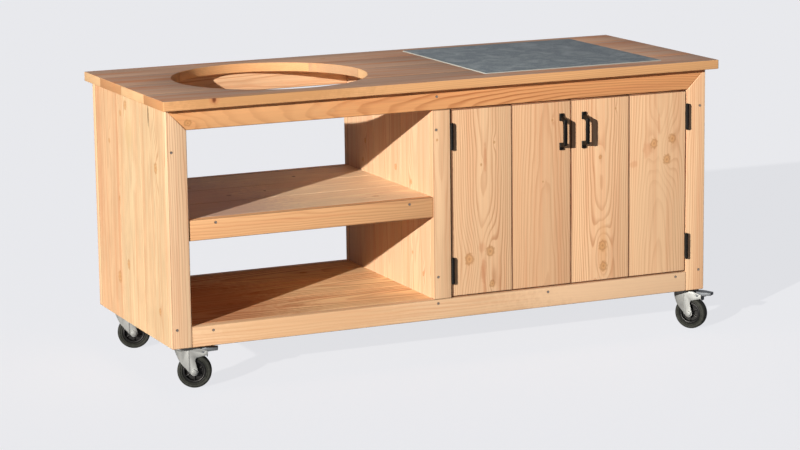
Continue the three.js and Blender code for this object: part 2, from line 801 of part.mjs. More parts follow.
// The fork is one pressing: a sheet wrapped round the swivel axis in front and open behind, trimmed to
// its side outline and stiffened by a bead down each leg, with a crown on top, a cup for the race, and
// the axle bolt through its legs
function forkGeometry(pedal_holes) {
  const inner_half = fork_half - fork_sheet;
  const outer = [
    ...arcPoints(0, 0, fork_half, Math.PI / 2, Math.PI + Math.PI / 2, bend_step),
    [fork_skirt_reach, -fork_half],
    [fork_skirt_reach, fork_half],
  ];
  const inner = [
    ...arcPoints(0, 0, inner_half, Math.PI / 2, Math.PI + Math.PI / 2, bend_step),
    [fork_skirt_reach + overrun, -inner_half],
    [fork_skirt_reach + overrun, inner_half],
  ];
  const band_bottom = axle_height - fork_boss_radius;
  const band = extruded(polygon(outer), crown_top - band_bottom);
  band.translate(0, 0, band_bottom);
  const inside = extruded(polygon(inner), crown_top - band_bottom + 2 * overrun);
  inside.translate(0, 0, band_bottom - overrun);
  const sheet = cut(band, inside);

  const leg_rear = trail + fork_leg_half_width;
  const lead_angle = Math.PI + Math.PI / 4;
  const side = polygon([
    [-fork_half - overrun, crown_top + overrun],
    [-fork_half - overrun, crown_top - fork_lead_drop],
    [-fork_half, crown_top - fork_lead_drop],
    [fork_elbow_reach - fork_half, crown_top - fork_elbow_drop],
    ...arcPoints(trail, axle_height, fork_boss_radius, lead_angle, 2 * Math.PI, boss_step),
    [leg_rear, crown_top - fork_leg_top_drop],
    [leg_rear + fork_leg_half_width, crown_top - fork_skirt_drop],
    [fork_skirt_reach, crown_top - fork_skirt_end_drop],
    [fork_skirt_reach, crown_top - fork_skirt_top_drop],
    [fork_crown_reach, crown_top],
    [fork_crown_reach, crown_top + overrun],
  ]);
  const side_block = extruded(side, fork_width + 2 * overrun);
  side_block.rotateX(Math.PI / 2);
  side_block.translate(0, fork_half + overrun, 0);
  const beads = [-1, 1].map((sign) => {
    const bead = roundBar(fork_bead_radius, band_bottom, crown_top - fork_bead_top_drop, fork_bead_sides);
    bead.translate(fork_bead_reach, sign * (fork_half - fork_sheet / 2), 0);
    return bead;
  });
  const shell = common(join(sheet, ...beads), side_block);

  const crown_outline = [
    ...arcPoints(0, 0, fork_half, Math.PI / 2, Math.PI + Math.PI / 2, bend_step),
    [fork_crown_reach, -fork_half],
    [fork_crown_reach, fork_half],
  ];
  const crown = extruded(polygon(crown_outline), fork_sheet);
  crown.translate(0, 0, crown_bottom);
  const cup = revolved([
    [kingpin_radius, crown_top],
    [kingpin_radius, crown_bottom],
    [fork_half - fork_sheet, crown_bottom],
    [fork_half - fork_sheet, crown_top - cup_height],
    [fork_half, crown_top - cup_height],
    [cup_radius, crown_top - cup_height / 2],
    [cup_radius, crown_top],
    [kingpin_radius, crown_top],
  ], wheel_sides);
  const bore = roundBar(kingpin_radius + running_clearance, crown_bottom - overrun, crown_top + overrun);

  const bolt = roundBar(axle_radius, -fork_half, fork_half);
  const heads = [-1, 1].map((sign) => {
    const outside = sign * (fork_half + axle_head_height);
    const inside_face = sign * (fork_half - fork_sheet / 2);
    const ends = [Math.min(outside, inside_face), Math.max(outside, inside_face)];
    return roundBar(axle_head_radius, ...ends, hexagon_sides);
  });
  const axle = join(bolt, ...heads);
  axle.rotateX(Math.PI / 2);
  axle.translate(trail, 0, axle_height);

  const whole = join(cut(join(shell, crown, cup), bore), axle);
  if (!pedal_holes) return whole;
  const pivot_bore = roundBar(pedal_pivot_radius + running_clearance, -fork_width, fork_width);
  pivot_bore.rotateX(Math.PI / 2);
  pivot_bore.translate(pedal_pivot_reach, 0, crown_top - pedal_pivot_drop);
  return cut(whole, pivot_bore);
}

// A wheel is revolved about its own axis, which lies along Y: a ribbed rim with the tyre bonded on
function wheelGeometry() {
  const bore = axle_radius + running_clearance;
  const rim_half = rim_width / 2;
  const web_half = web_thickness / 2;
  const hub_half = hub_width / 2;
  const tread = wheel_diameter / 2;
  const tyre_half = wheel_width / 2;
  const shoulder = tyre_shoulder_radius;
  const body = revolved([
    [bore, -hub_half],
    [hub_radius, -hub_half],
    [hub_radius, -web_half],
    [rim_inner_radius, -web_half],
    [rim_inner_radius, -rim_half],
    [rim_outer_radius, -rim_half],
    ...arcPoints(tread - shoulder, shoulder - tyre_half, shoulder, -Math.PI / 2, 0, shoulder_step),
    ...arcPoints(tread - shoulder, tyre_half - shoulder, shoulder, 0, Math.PI / 2, shoulder_step),
    [rim_outer_radius, rim_half],
    [rim_inner_radius, rim_half],
    [rim_inner_radius, web_half],
    [hub_radius, web_half],
    [hub_radius, hub_half],
    [bore, hub_half],
    [bore, -hub_half],
  ], wheel_sides);
  const rib_inner = (bore + hub_radius) / 2;
  const rib_outer = (rim_inner_radius + rim_outer_radius) / 2;
  const ribs = Array.from({ length: rib_count }, (_, index) => {
    const half = rib_thickness / 2;
    const rib = boxFrom([rib_inner, rib_outer], [-half, half], [-rib_width / 2, rib_width / 2]);
    rib.rotateZ((2 * Math.PI * index) / rib_count);
    return rib;
  });
  const wheel = join(body, ...ribs);
  wheel.rotateX(Math.PI / 2);
  return wheel;
}

// The pedal is a sheet folded down along both sides, which hang on the pivot between the fork's skirts.
// It runs out over the wheel to a lip, and a shoe below it meets the tread when the tip is pressed.
function pedalGeometry() {
  const pivot_z = crown_top - pedal_pivot_drop;
  const start_top = pivot_z + pedal_rise;
  const tip_top = start_top - pedal_slope_drop;
  const sideBlock = (points, half_width) => {
    const block = extruded(polygon(points), 2 * half_width);
    block.rotateX(Math.PI / 2);
    block.translate(0, half_width, 0);
    return block;
  };
  const planBlock = (inset, tip) => {
    const half = pedal_width / 2 - inset;
    const tip_half = pedal_tip_width / 2 - inset;
    const waist = fork_skirt_reach + joint_gap;
    const plan = polygon([
      [0, -half],
      [waist, -half],
      [tip, -tip_half],
      [tip, tip_half],
      [waist, half],
      [0, half],
    ]);
    return extruded(plan, caster_height);
  };
  const eye_angle = Math.PI + pedal_eye_start;
  const eye_end = 2 * Math.PI - arc_step;
  const outside = sideBlock([
    [pedal_start_reach, start_top],
    ...arcPoints(pedal_pivot_reach, pivot_z, pedal_eye_radius, eye_angle, eye_end, boss_step),
    [pedal_reach, tip_top - pedal_lip_height],
    [pedal_reach, tip_top],
  ], pedal_width);
  const inside = sideBlock([
    [pedal_start_reach - overrun, start_top - pedal_sheet],
    [pedal_start_reach - overrun, pivot_z - pedal_width],
    [pedal_reach - pedal_sheet, pivot_z - pedal_width],
    [pedal_reach - pedal_sheet, tip_top - pedal_sheet],
  ], pedal_width);
  const hollow = common(inside, planBlock(pedal_sheet, pedal_reach));
  const folded = cut(common(outside, planBlock(0, pedal_reach)), hollow);
  const shoe = sideBlock([
    [shoe_reach - pedal_sheet, start_top - pedal_sheet],
    [shoe_reach - pedal_sheet, crown_top - shoe_drop],
    [shoe_reach, crown_top - shoe_drop],
    [shoe_reach, start_top - pedal_sheet],
  ], shoe_width / 2);
  const pivot = roundBar(pedal_pivot_radius, -fork_half, fork_half);
  pivot.rotateX(Math.PI / 2);
  pivot.translate(pedal_pivot_reach, 0, pivot_z);
  return join(folded, shoe, pivot);
}

const left_axis_x = caster_inset_left;
const right_axis_x = cabinet_length - caster_inset_right;
const front_axis_y = caster_inset_front;
const rear_axis_y = cabinet_depth - caster_inset_rear;
const caster_places = [
  { name: "front_left", x: left_axis_x, y: front_axis_y, turn: front_left_turn, brake: true },
  { name: "rear_left", x: left_axis_x, y: rear_axis_y, turn: rear_left_turn, brake: false },
  { name: "front_right", x: right_axis_x, y: front_axis_y, turn: front_right_turn, brake: true },
  { name: "rear_right", x: right_axis_x, y: rear_axis_y, turn: rear_right_turn, brake: false },
];

function addCasters() {
  const plate = casterPlateGeometry();
  const wheel = wheelGeometry();
  for (const { name, x, y, turn, brake } of caster_places) {
    addMesh(cabinet, `${name}_caster_plate`, plate, zinc).position.set(x, y, 0);
    const caster = new THREE.Group();
    caster.position.set(x, y, 0);
    caster.rotation.z = turn;
    table.add(caster);
    addMesh(caster, `${name}_fork`, forkGeometry(brake), zinc);
    addMesh(caster, `${name}_wheel`, wheel, rubber).position.set(trail, 0, axle_height);
    if (brake) addMesh(caster, `${name}_brake_pedal`, pedalGeometry(), zinc);
  }
}

addWorktop();
addSlabFrame();
addFaceFrame("front", 0, apron_setback);
addFaceFrame("rear", cabinet_depth - board_thickness, cabinet_depth - board_thickness - apron_setback);
addPanels();
addHingeLeaves(cabinet, "frame_hinge_leaf_left", frame_leaf, left_pin_x, false);
addHingeLeaves(cabinet, "frame_hinge_leaf_right", frame_leaf, right_pin_x, true);
const left_door_right = doors_middle - door_middle_gap / 2;
const right_door_left = doors_middle + door_middle_gap / 2;
const left_handle_x = left_door_right - left_handle_from_door_edge;
const right_handle_x = right_door_left + right_handle_from_door_edge;
addDoor("left_door", [doors_left, left_door_right], left_pin_x, false, left_handle_x);
addDoor("right_door", [right_door_left, doors_right], right_pin_x, true, right_handle_x);
addCasters();

// The origin is on the floor, under the middle of the table's overall box
const overall_front = Math.min(worktop_front, -handle_reach);
table.position.set(-(worktop_left + worktop_right) / 2, -(overall_front + worktop_rear) / 2, 0);

export default table;
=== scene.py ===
# %% [markdown]
# A kamado grill table of oiled larch on four casters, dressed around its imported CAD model.
# The CAD model already has every board, hinge and caster at its real size and place. This script keeps
# those pieces, gives each one a finish, and adds what is too small or too soft in outline for CAD.

# %% Load the frame
import functools
import json
import math
from types import SimpleNamespace

import bpy
from mathutils import Matrix, Vector


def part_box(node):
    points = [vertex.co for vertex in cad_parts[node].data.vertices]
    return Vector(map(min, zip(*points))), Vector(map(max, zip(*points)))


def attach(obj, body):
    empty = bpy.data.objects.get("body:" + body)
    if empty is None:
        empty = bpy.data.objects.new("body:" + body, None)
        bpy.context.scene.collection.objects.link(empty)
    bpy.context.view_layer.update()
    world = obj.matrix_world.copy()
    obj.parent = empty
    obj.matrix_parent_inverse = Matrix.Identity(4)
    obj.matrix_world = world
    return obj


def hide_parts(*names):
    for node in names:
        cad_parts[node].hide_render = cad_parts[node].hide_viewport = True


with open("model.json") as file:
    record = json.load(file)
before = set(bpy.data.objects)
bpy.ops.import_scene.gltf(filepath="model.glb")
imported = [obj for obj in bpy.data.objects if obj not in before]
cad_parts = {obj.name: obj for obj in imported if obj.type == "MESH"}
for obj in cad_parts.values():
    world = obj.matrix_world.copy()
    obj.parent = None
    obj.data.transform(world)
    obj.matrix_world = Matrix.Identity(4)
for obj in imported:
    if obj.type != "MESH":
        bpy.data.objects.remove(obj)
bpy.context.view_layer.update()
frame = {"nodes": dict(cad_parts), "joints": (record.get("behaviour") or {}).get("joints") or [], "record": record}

# %% [markdown]
# Blender measures in metres, but boards and screws are thought of in millimetres, so a size is written as a
# number times MM. Colours are written as the sRGB hex values that a paint chart would give. Shaders work
# in linear light, so one function turns every colour, and no colour is turned anywhere else.

# %% Units and colours
MM = 0.001
AXES = ("X", "Y", "Z")


def linear(hex_colour):
    channels = [int(hex_colour[place:place + 2], 16) / 255 for place in (1, 3, 5)]
    curved = [c / 12.92 if c <= 0.04045 else ((c + 0.055) / 1.055) ** 2.4 for c in channels]
    return (*curved, 1.0)


print("a mid grey in linear light:", round(linear("#808080")[0], 3))

# %% [markdown]
# A material is a tree of nodes. One function adds any node: it takes the kind, what goes into the sockets,
# which output is wanted and the node's settings, and hands that output back for the next node. The inputs
# are a list in the order of the sockets, or a dictionary where only some are set. Two groups of settings
# are used so often that they have names: a smooth ramp, and a mix of two colours with its three sockets.

# %% Shader nodes and materials
SMOOTH = {"interpolation_type": "SMOOTHSTEP"}
COLOURS = {"data_type": "RGBA", "output": 2}
SHARE, BELOW, ABOVE = 0, 6, 7


def add(tree, kind, inputs=(), output=0, **settings):
    node = tree.nodes.new(f"ShaderNode{kind}")
    for name, value in settings.items():
        setattr(node, name, value)
    for socket, value in inputs.items() if isinstance(inputs, dict) else enumerate(inputs):
        if isinstance(value, bpy.types.NodeSocket):
            tree.links.new(value, node.inputs[socket])
        else:
            node.inputs[socket].default_value = value
    return node.outputs[output] if node.outputs else node


def new_material(name):
    """An empty material, and the function above for its tree."""
    material = bpy.data.materials.new(name)
    material.use_nodes = True
    material.node_tree.nodes.clear()
    return material, functools.partial(add, material.node_tree)


def dress(node_names, material):
    for node_name in node_names:
        slots = frame["nodes"][node_name].data.materials
        slots.clear()
        slots.append(material)


print("CAD nodes to dress:", len(frame["nodes"]))

# %% [markdown]
# The camera stands where the photographer stood: about eight metres away, to the left of the table, a little
# above its top, with a long lens. Its place, aim and lens were worked out from the straight edges of the
# table, whose real sizes are known. The Standard view shows a colour as it is lit, with no film curve.

# %% Camera
PICTURE_WIDTH = 800
FOCAL_LENGTH_PIXELS = 2690.5
CAMERA_PLACE = Vector((-3.34986, -7.42092, 1.95090))
VIEW_AZIMUTH = math.radians(24.176)
VIEW_ELEVATION = math.radians(-11.086)
CAMERA_ROLL = math.radians(-0.750)
FARTHEST_SEEN = 100

camera_data = bpy.data.cameras.new("camera")
camera_data.lens = camera_data.sensor_width * FOCAL_LENGTH_PIXELS / PICTURE_WIDTH
camera_data.clip_end = FARTHEST_SEEN
camera = bpy.data.objects.new("camera", camera_data)
bpy.context.scene.collection.objects.link(camera)
turned_right = Matrix.Rotation(-VIEW_AZIMUTH, 4, "Z")
looking_ahead = Matrix.Rotation(math.pi / 2 + VIEW_ELEVATION, 4, "X")
rolled = Matrix.Rotation(CAMERA_ROLL, 4, "Z")
camera.matrix_world = Matrix.Translation(CAMERA_PLACE) @ turned_right @ looking_ahead @ rolled
bpy.context.scene.camera = camera
bpy.context.scene.view_settings.view_transform = "Standard"
print("lens in mm:", round(camera_data.lens, 1))

# %% [markdown]
# The photograph's key light is low and comes from the front left, so it rakes along the boards and throws
# the frame's shadow into the bays. A sun lamp gives the same parallel light, and a little width softens its
# shadows. A weak lamp behind the table keeps its back from being lost in the dark. It travels level, so it
# lights nothing that the photographer's camera sees in front, and reflections leave it out.

# %% Lamps
LAMPS = (
    ("key_light", 4.85, 0.6, "#FFF8EE", Vector((0.789, 0.554, -0.266))),
    ("back_light", 1.3, 5.0, "#FFFFFF", Vector((-0.35, -0.94, 0.0))),
)
for name, energy, degrees_wide, colour, travel in LAMPS:
    lamp_data = bpy.data.lights.new(name, "SUN")
    lamp_data.energy = energy
    lamp_data.angle = math.radians(degrees_wide)
    lamp_data.color = linear(colour)[:3]
    lamp = bpy.data.objects.new(name, lamp_data)
    bpy.context.scene.collection.objects.link(lamp)
    lamp.rotation_euler = travel.to_track_quat("-Z", "Y").to_euler()
    lamp.visible_glossy = name == "key_light"
print("lamps:", [name for name, *_ in LAMPS])

# %% [markdown]
# An even, faintly blue sky fills the shadows. The camera doesn't see it: it sees the photograph's plain
# pale backdrop, and so, more weakly, do glossy surfaces. In this way the background is bright because of
# its colour, and no lamp has to be turned up for it.

# %% Sky and backdrop
BACKGROUND_COLOUR = "#EAEBEF"
FILL_COLOUR = "#DCE2FF"
FILL_STRENGTH = 0.06
MIRRORED_SHARE = 0.45
world = bpy.data.worlds.new("studio")
bpy.context.scene.world = world
world.use_nodes = True
world.node_tree.nodes.clear()
put = functools.partial(add, world.node_tree)
ray = put("LightPath").node
mirrored = put("Math", [ray.outputs["Is Glossy Ray"], MIRRORED_SHARE], operation="MULTIPLY")
seen = put("Math", [ray.outputs["Is Camera Ray"], mirrored], operation="MAXIMUM")
fill_light = put("Background", {"Color": linear(FILL_COLOUR), "Strength": FILL_STRENGTH})
backdrop = put("Background", {"Color": linear(BACKGROUND_COLOUR), "Strength": 1.0})
put("OutputWorld", {"Surface": put("MixShader", [seen, fill_light, backdrop])})
print("sky strength:", FILL_STRENGTH)

# %% [markdown]
# The floor has to look as plain and pale as the backdrop and still keep the table's shadow. So the camera
# sees a mix of two things: a glow of the backdrop's colour, and the floor's own matt paint, which is
# shaded by the table. Other rays see only the paint, so the floor throws natural light up at the boards.

# %% Floor
FLOOR_SIDE = 60
FLOOR_COLOUR = "#A9ABB0"
SHADOW_SHARE = 0.4
PLAIN_GLOW = 1.49
bpy.ops.mesh.primitive_plane_add(size=FLOOR_SIDE, location=(0, 0, 0))
floor = bpy.context.object
floor.name = "studio_floor"
floor_paint, put = new_material("matt_studio_floor")
matt = put("BsdfDiffuse", {"Color": linear(FLOOR_COLOUR)})
glow = put("Emission", {"Color": linear(BACKGROUND_COLOUR), "Strength": PLAIN_GLOW})
camera_sees = put("LightPath", output="Is Camera Ray")
plain_share = put("Math", [camera_sees, 1 - SHADOW_SHARE], operation="MULTIPLY")
put("OutputMaterial", {"Surface": put("MixShader", [plain_share, matt, glow])})
floor.data.materials.append(floor_paint)
print("floor side in metres:", FLOOR_SIDE)

# %% [markdown]
# Larch is a softwood with clear growth rings: pale earlywood that darkens slowly into a thin orange band of
# latewood and then stops sharply. A picture of grain laid on each face would not join up at the edges, so
# the material is a solid one, built as the tree is, and each face of a board is a cut through it. It works
# in the board's own directions: across the board, into it, and along its grain. Nearly everything in wood
# is drawn out along the grain, and so is each noise here.

# %% Larch: directions and noise
def new_larch(name, grain, across):
    material, put = new_material(f"oiled_larch_{name}")
    into = next(axis for axis in AXES if axis not in (grain, across))
    split = put("SeparateXYZ", [put("TexCoord", output="Object")]).node
    wood = SimpleNamespace(material=material, put=put, grain=grain)
    wood.across, wood.into, wood.along = (split.outputs[axis] for axis in (across, into, grain))
    wood.place = put("CombineXYZ", [wood.across, wood.into, wood.along])
    return wood


def drawn_out(wood, width, length, detail, roughness, scale=1.0):
    """A noise of a real width, drawn out to a real length along the grain, and different on each board."""
    stretch = (1 / width, 1 / width, 1 / length)
    where = wood.put("VectorMath", [wood.place, stretch], operation="MULTIPLY")
    return wood.put("TexNoise", {
        "Vector": where, "W": wood.seed, "Scale": scale, "Detail": detail, "Roughness": roughness,
    }, noise_dimensions="4D")


def together(wood, operation, values):
    """One value out of several: the highest, the lowest or the product, or None where there are none."""
    def pair(first, second):
        return wood.put("Math", [first, second], operation=operation)
    return functools.reduce(pair, values) if values else None


print("stages of the larch: boards, weather, rings, knots, colours, marks, edges, oil")

# %% [markdown]
# Fresh larch runs from pale straw to salmon, and two boards are never quite alike. These are the tones of
# the earlywood, one for each kind of board, chosen against the photograph under the lamps above.

# %% Larch: tones
LARCH_TONES = {
    "door": "#F3CBA2",
    "door_dull": "#E8BE96",
    "frame": "#F0CAA2",
    "apron": "#E9B685",
    "side": "#E8CBA2",
    "side_red": "#E9C39A",
    "stile": "#FCD8B1",
    "rail_red": "#EEAE76",
    "partition": "#E9C7A4",
    "shelf": "#FFE2BC",
    "bottom": "#FFDCAC",
    "inside": "#F0C99F",
    "worktop": "#EEB882",
}
print("larch tones:", len(LARCH_TONES))

# %% [markdown]
# A side panel or a shelf is several boards, glued side by side. At each joint the noise seed, the pith line
# and the tone change, so that the grain breaks there as it does on real boards, and the oil that gathers in
# the joint draws a thin dark line.

# %% Larch: the boards of a panel
SEED_STEP = 3.7
JOINT_LINE = 1.6 * MM


def lay_boards(wood, piths, joints, tones, ends, seed, stain):
    put = wood.put
    wood.pith_across = piths[0][0]
    wood.seed = seed
    wood.tone = linear(LARCH_TONES[tones[0]])
    wood.end_tone = linear(ends[0]) if ends else None
    lines = []
    for number, joint in enumerate(joints, start=1):
        beyond = put("Math", [wood.across, joint], operation="GREATER_THAN")
        pith_step = piths[number][0] - piths[number - 1][0]
        wood.pith_across = put("Math", [beyond, pith_step, wood.pith_across], operation="MULTIPLY_ADD")
        wood.seed = put("Math", [beyond, SEED_STEP, wood.seed], operation="MULTIPLY_ADD")
        tone = linear(LARCH_TONES[tones[number % len(tones)]])
        wood.tone = put("Mix", {SHARE: beyond, BELOW: wood.tone, ABOVE: tone}, **COLOURS)
        if ends:
            tone = linear(ends[number])
            wood.end_tone = put("Mix", {SHARE: beyond, BELOW: wood.end_tone, ABOVE: tone}, **COLOURS)
        past_joint = put("Math", [wood.across, joint], operation="SUBTRACT")
        off_joint = put("Math", [past_joint], operation="ABSOLUTE")
        lines.append(put("MapRange", [off_joint, 0.0, JOINT_LINE, stain, 0.0], **SMOOTH))
    wood.joint_line = together(wood, "MAXIMUM", lines)


print("joint line in mm:", round(JOINT_LINE / MM, 1))

# %% [markdown]
# End grain drinks more oil than a face, so it has a tone of its own. The worktop's top has greyed out of
# doors, and its grey-mauve tone also paints in a bluish sheen of reflected sky; its broad streaks show most
# there. Which way a face points tells these places apart. That would be wrong on a door, which turns with
# its hinge, so of the larch only the fixed worktop uses it.

# %% Larch: end grain and the weathered top
# The top's tone: weathered grey, with a painted bluish sheen of reflected sky mixed in.
WORKTOP_WEAR_AND_SKY_SHEEN = "#CAB2A8"
WEAR_AND_SKY_SHEEN_SHARE = 0.6
END_SHARE = 0.9
STREAKS_OFF_TOP = 0.25


def facing(wood, direction):
    """How squarely the surface faces a direction: 1 is straight on."""
    normal = wood.put("NewGeometry", output="Normal")
    return wood.put("VectorMath", [normal, direction], "Value", operation="DOT_PRODUCT")


def weather_and_sky_sheen(wood, ends, worn_with_sky_sheen, streak_share):
    """Tones the end grain, and the top with weathering and a painted sheen of reflected sky, and returns how
    strong the broad streaks are.
    """
    put = wood.put
    if ends:
        grainwards = [float(axis == wood.grain) for axis in AXES]
        endwards = put("Math", [facing(wood, grainwards)], operation="ABSOLUTE")
        on_end = put("MapRange", [endwards, 0.6, 0.9, 0.0, END_SHARE], **SMOOTH)
        wood.tone = put("Mix", {SHARE: on_end, BELOW: wood.tone, ABOVE: wood.end_tone}, **COLOURS)
    if not worn_with_sky_sheen:
        return streak_share
    on_top = put("MapRange", [facing(wood, (0, 0, 1)), 0.7, 0.98], **SMOOTH)
    # Mixes in the top's tone: weathering and a painted sheen of reflected sky.
    wear_and_sky_sheen = put("Math", [on_top, WEAR_AND_SKY_SHEEN_SHARE], operation="MULTIPLY")
    wood.tone = put("Mix", {SHARE: wear_and_sky_sheen, BELOW: wood.tone, ABOVE: linear(WORKTOP_WEAR_AND_SKY_SHEEN)}, **COLOURS)
    streaky = put("MapRange", [on_top, 0.0, 1.0, STREAKS_OFF_TOP, 1.0], **SMOOTH)
    return put("Math", [streak_share, streaky], operation="MULTIPLY")


print("weathered top:", WORKTOP_WEAR_AND_SKY_SHEEN)

# %% [markdown]
# A growth ring is all that lies at one distance from the pith. The pith line runs behind the board and leans
# a little, which draws straight lines near the board's edges, pointed arches down its middle and round arcs
# on its end grain. Slow noise makes the lines wander and a quicker one ripples them. Where the rings lie
# flat in the face, in the middle of the arches, their lines are broad and soft, so they are drawn weaker.

# %% Larch: growth rings
RING_WANDER = 13 * MM
WANDER_WIDTH = 120 * MM
WANDER_LENGTH = 480 * MM
RING_RIPPLE = 5 * MM
RIPPLE_WIDTH = 26 * MM
RIPPLE_LENGTH = 110 * MM


def grow_rings(wood, pith_depth, lean, skew):
    """The distance of each point from the pith, and how steeply the rings meet the face."""
    put = wood.put
    off_pith = put("Math", [wood.across, wood.pith_across], operation="SUBTRACT")
    sideways = put("Math", [wood.along, -skew, off_pith], operation="MULTIPLY_ADD")
    leaning = put("Math", [wood.along, lean, -pith_depth], operation="MULTIPLY_ADD")
    inwards = put("Math", [wood.into, leaning], operation="ADD")
    radius = put("VectorMath", [put("CombineXYZ", [sideways, inwards])], "Value", operation="LENGTH")
    slope = put("Math", [put("Math", [sideways], operation="ABSOLUTE"), radius], operation="DIVIDE")
    wood.steepness = put("MapRange", [slope, 0.0, 0.6, 0.45, 1.0], **SMOOTH)
    wander = drawn_out(wood, WANDER_WIDTH, WANDER_LENGTH, 2.0, 0.45)
    radius = put("Math", [wander, RING_WANDER, radius], operation="MULTIPLY_ADD")
    ripple = drawn_out(wood, RIPPLE_WIDTH, RIPPLE_LENGTH, 1.0, 0.5)
    wood.radius = put("Math", [ripple, RING_RIPPLE, radius], operation="MULTIPLY_ADD")


print("rings wander in mm:", round(RING_WANDER / MM))

# %% [markdown]
# A knot is the foot of a branch, and the rings flow around it. Each knot pushes the rings aside over a bell
# shape that is drawn out along the grain, further for a thick branch than for a thin one. The distance to
# the nearest knot, counted in its own radii, is kept for its colours. Most knots go right through their
# board. Those of the worktop lie at one depth, so that they can end inside it.

# %% Larch: knots in the rings
KNOT_PUSH = 10 * MM
PUSHING_KNOT = 8 * MM
KNOT_REACH = 2.2
KNOT_DEPTH_SHARE = 0.8
KNOT_LENGTH_SHARE = 0.8
PUSH_LENGTH_SHARE = 0.4


def set_knots(wood, knots, level):
    put = wood.put
    wood.level = level or 0.0
    wood.depth_share = 0.0 if level is None else KNOT_DEPTH_SHARE
    distances = []
    for along, across, size in knots:
        off_knot = put("VectorMath", [wood.place, (across, wood.level, along)], operation="SUBTRACT")
        in_radii = (1 / size, wood.depth_share / size, KNOT_LENGTH_SHARE / size)
        in_radii = put("VectorMath", [off_knot, in_radii], operation="MULTIPLY")
        distances.append(put("VectorMath", [in_radii], "Value", operation="LENGTH"))
        bell = (1 / KNOT_REACH, 1 / KNOT_REACH, PUSH_LENGTH_SHARE / KNOT_REACH)
        bell = put("VectorMath", [in_radii, bell], operation="MULTIPLY")
        squared = put("VectorMath", [bell, bell], "Value", operation="DOT_PRODUCT")
        push = put("Math", [put("Math", [squared, -1.0], operation="MULTIPLY")], operation="EXPONENT")
        push_length = KNOT_PUSH * size / PUSHING_KNOT
        wood.radius = put("Math", [push, push_length, wood.radius], operation="MULTIPLY_ADD")
    wood.off_knot = together(wood, "MINIMUM", distances)


print("a knot of", round(PUSHING_KNOT / MM), "mm pushes the rings by mm:", round(KNOT_PUSH / MM))

# %% [markdown]
# Over each ring the colour darkens slowly and then falls back at once. Patches make the rings stronger in
# some places, broad streaks of redder heartwood run along the board, and fine streaks are bundles of
# fibres. Real ones are under a millimetre wide. Here they are three times as wide, so that they still show.

# %% Larch: the colours of rings and fibres
LATEWOOD = "#B4683A"
HEARTWOOD = "#D98D60"
STREAK_LENGTH = 700 * MM
FIBRE_WIDTH = 2.6 * MM
FIBRE_LENGTH = 220 * MM
MOTTLE_WIDTH = 55 * MM
MOTTLE_LENGTH = 130 * MM
LIGHT_MOTTLE = 0.4


def colour_rings(wood, spacing, figure, streak_width, streak_share, mottle):
    put = wood.put
    in_rings = put("Math", [wood.radius, 1 / spacing], operation="MULTIPLY")
    ring = put("Math", [in_rings], operation="FRACT")
    rising = put("MapRange", [ring, 0.45, 0.9], **SMOOTH)
    falling = put("MapRange", [ring, 0.92, 1.0, 1.0, 0.0])
    wood.latewood = put("Math", [rising, falling], operation="MULTIPLY")
    streaks = drawn_out(wood, streak_width, STREAK_LENGTH, 3.0, 0.6)
    patches = drawn_out(wood, WANDER_WIDTH, WANDER_LENGTH, 1.0, 0.5, scale=0.8)
    wood.fibres = drawn_out(wood, FIBRE_WIDTH, FIBRE_LENGTH, 2.0, 0.5)

    streaks = put("MapRange", [streaks, 0.42, 0.72], **SMOOTH)
    streaks = put("Math", [streaks, streak_share], operation="MULTIPLY")
    colour = put("Mix", {SHARE: streaks, BELOW: wood.tone, ABOVE: linear(HEARTWOOD)}, **COLOURS)
    strength = put("MapRange", [patches, 0.35, 0.7, 0.62 * figure, 0.3 * figure], **SMOOTH)
    strength = put("Math", [strength, wood.steepness], operation="MULTIPLY")
    strength = put("Math", [wood.latewood, strength], operation="MULTIPLY")
    colour = put("Mix", {SHARE: strength, BELOW: colour, ABOVE: linear(LATEWOOD)}, **COLOURS)

    any_board = put("TexWhiteNoise", {"W": wood.seed}, noise_dimensions="1D")
    shades = [
        put("MapRange", [any_board, 0.0, 1.0, 0.97, 1.04]),
        put("MapRange", [patches, 0.25, 0.75, 1.06, 0.94]),
        put("MapRange", [wood.fibres, 0.25, 0.75, 0.92, 1.07]),
    ]
    if mottle:
        clouds = drawn_out(wood, MOTTLE_WIDTH, MOTTLE_LENGTH, 3.0, 0.6)
        light = 1 + LIGHT_MOTTLE * mottle
        shades.append(put("MapRange", [clouds, 0.35, 0.65, light, 1 - mottle], **SMOOTH))
    shade = together(wood, "MULTIPLY", shades)
    wood.colour = put("VectorMath", {0: colour, "Scale": shade}, operation="SCALE")


print("fibres in mm:", round(FIBRE_WIDTH / MM, 1), "by", round(FIBRE_LENGTH / MM))

# %% [markdown]
# A mark is a stain, a resin streak, a crack, or a stretch of redder or paler wood: one tone over an oval
# with a ragged edge. A knot shows thin rings of its own around a darker heart, inside a dark bark rim, and
# noise keeps it from being a perfect circle.

# %% Larch: marks and the colours of knots
RAGGED = 13 * MM
KNOT_BLOTCH = 7 * MM
KNOT_HEART = "#BF8A55"
KNOT_PALE = "#DBA268"
KNOT_RIM = "#A5632F"
KNOT_RINGS = 2.5


def draw_marks(wood, marks):
    put = wood.put
    ragged = drawn_out(wood, RAGGED, RAGGED, 2.0, 0.5)
    ragged = put("MapRange", [ragged, 0.25, 0.75, 0.82, 1.18], **SMOOTH)
    for along, across, half_length, half_width, tone, strength in marks:
        off_mark = put("VectorMath", [wood.place, (across, wood.level, along)], operation="SUBTRACT")
        in_halves = (1 / half_width, wood.depth_share / half_width, 1 / half_length)
        in_halves = put("VectorMath", [off_mark, in_halves], operation="MULTIPLY")
        off_mark = put("VectorMath", [in_halves], "Value", operation="LENGTH")
        off_mark = put("Math", [off_mark, ragged], operation="MULTIPLY")
        share = put("MapRange", [off_mark, 0.4, 1.0, strength, 0.0], **SMOOTH)
        wood.colour = put("Mix", {SHARE: share, BELOW: wood.colour, ABOVE: linear(tone)}, **COLOURS)


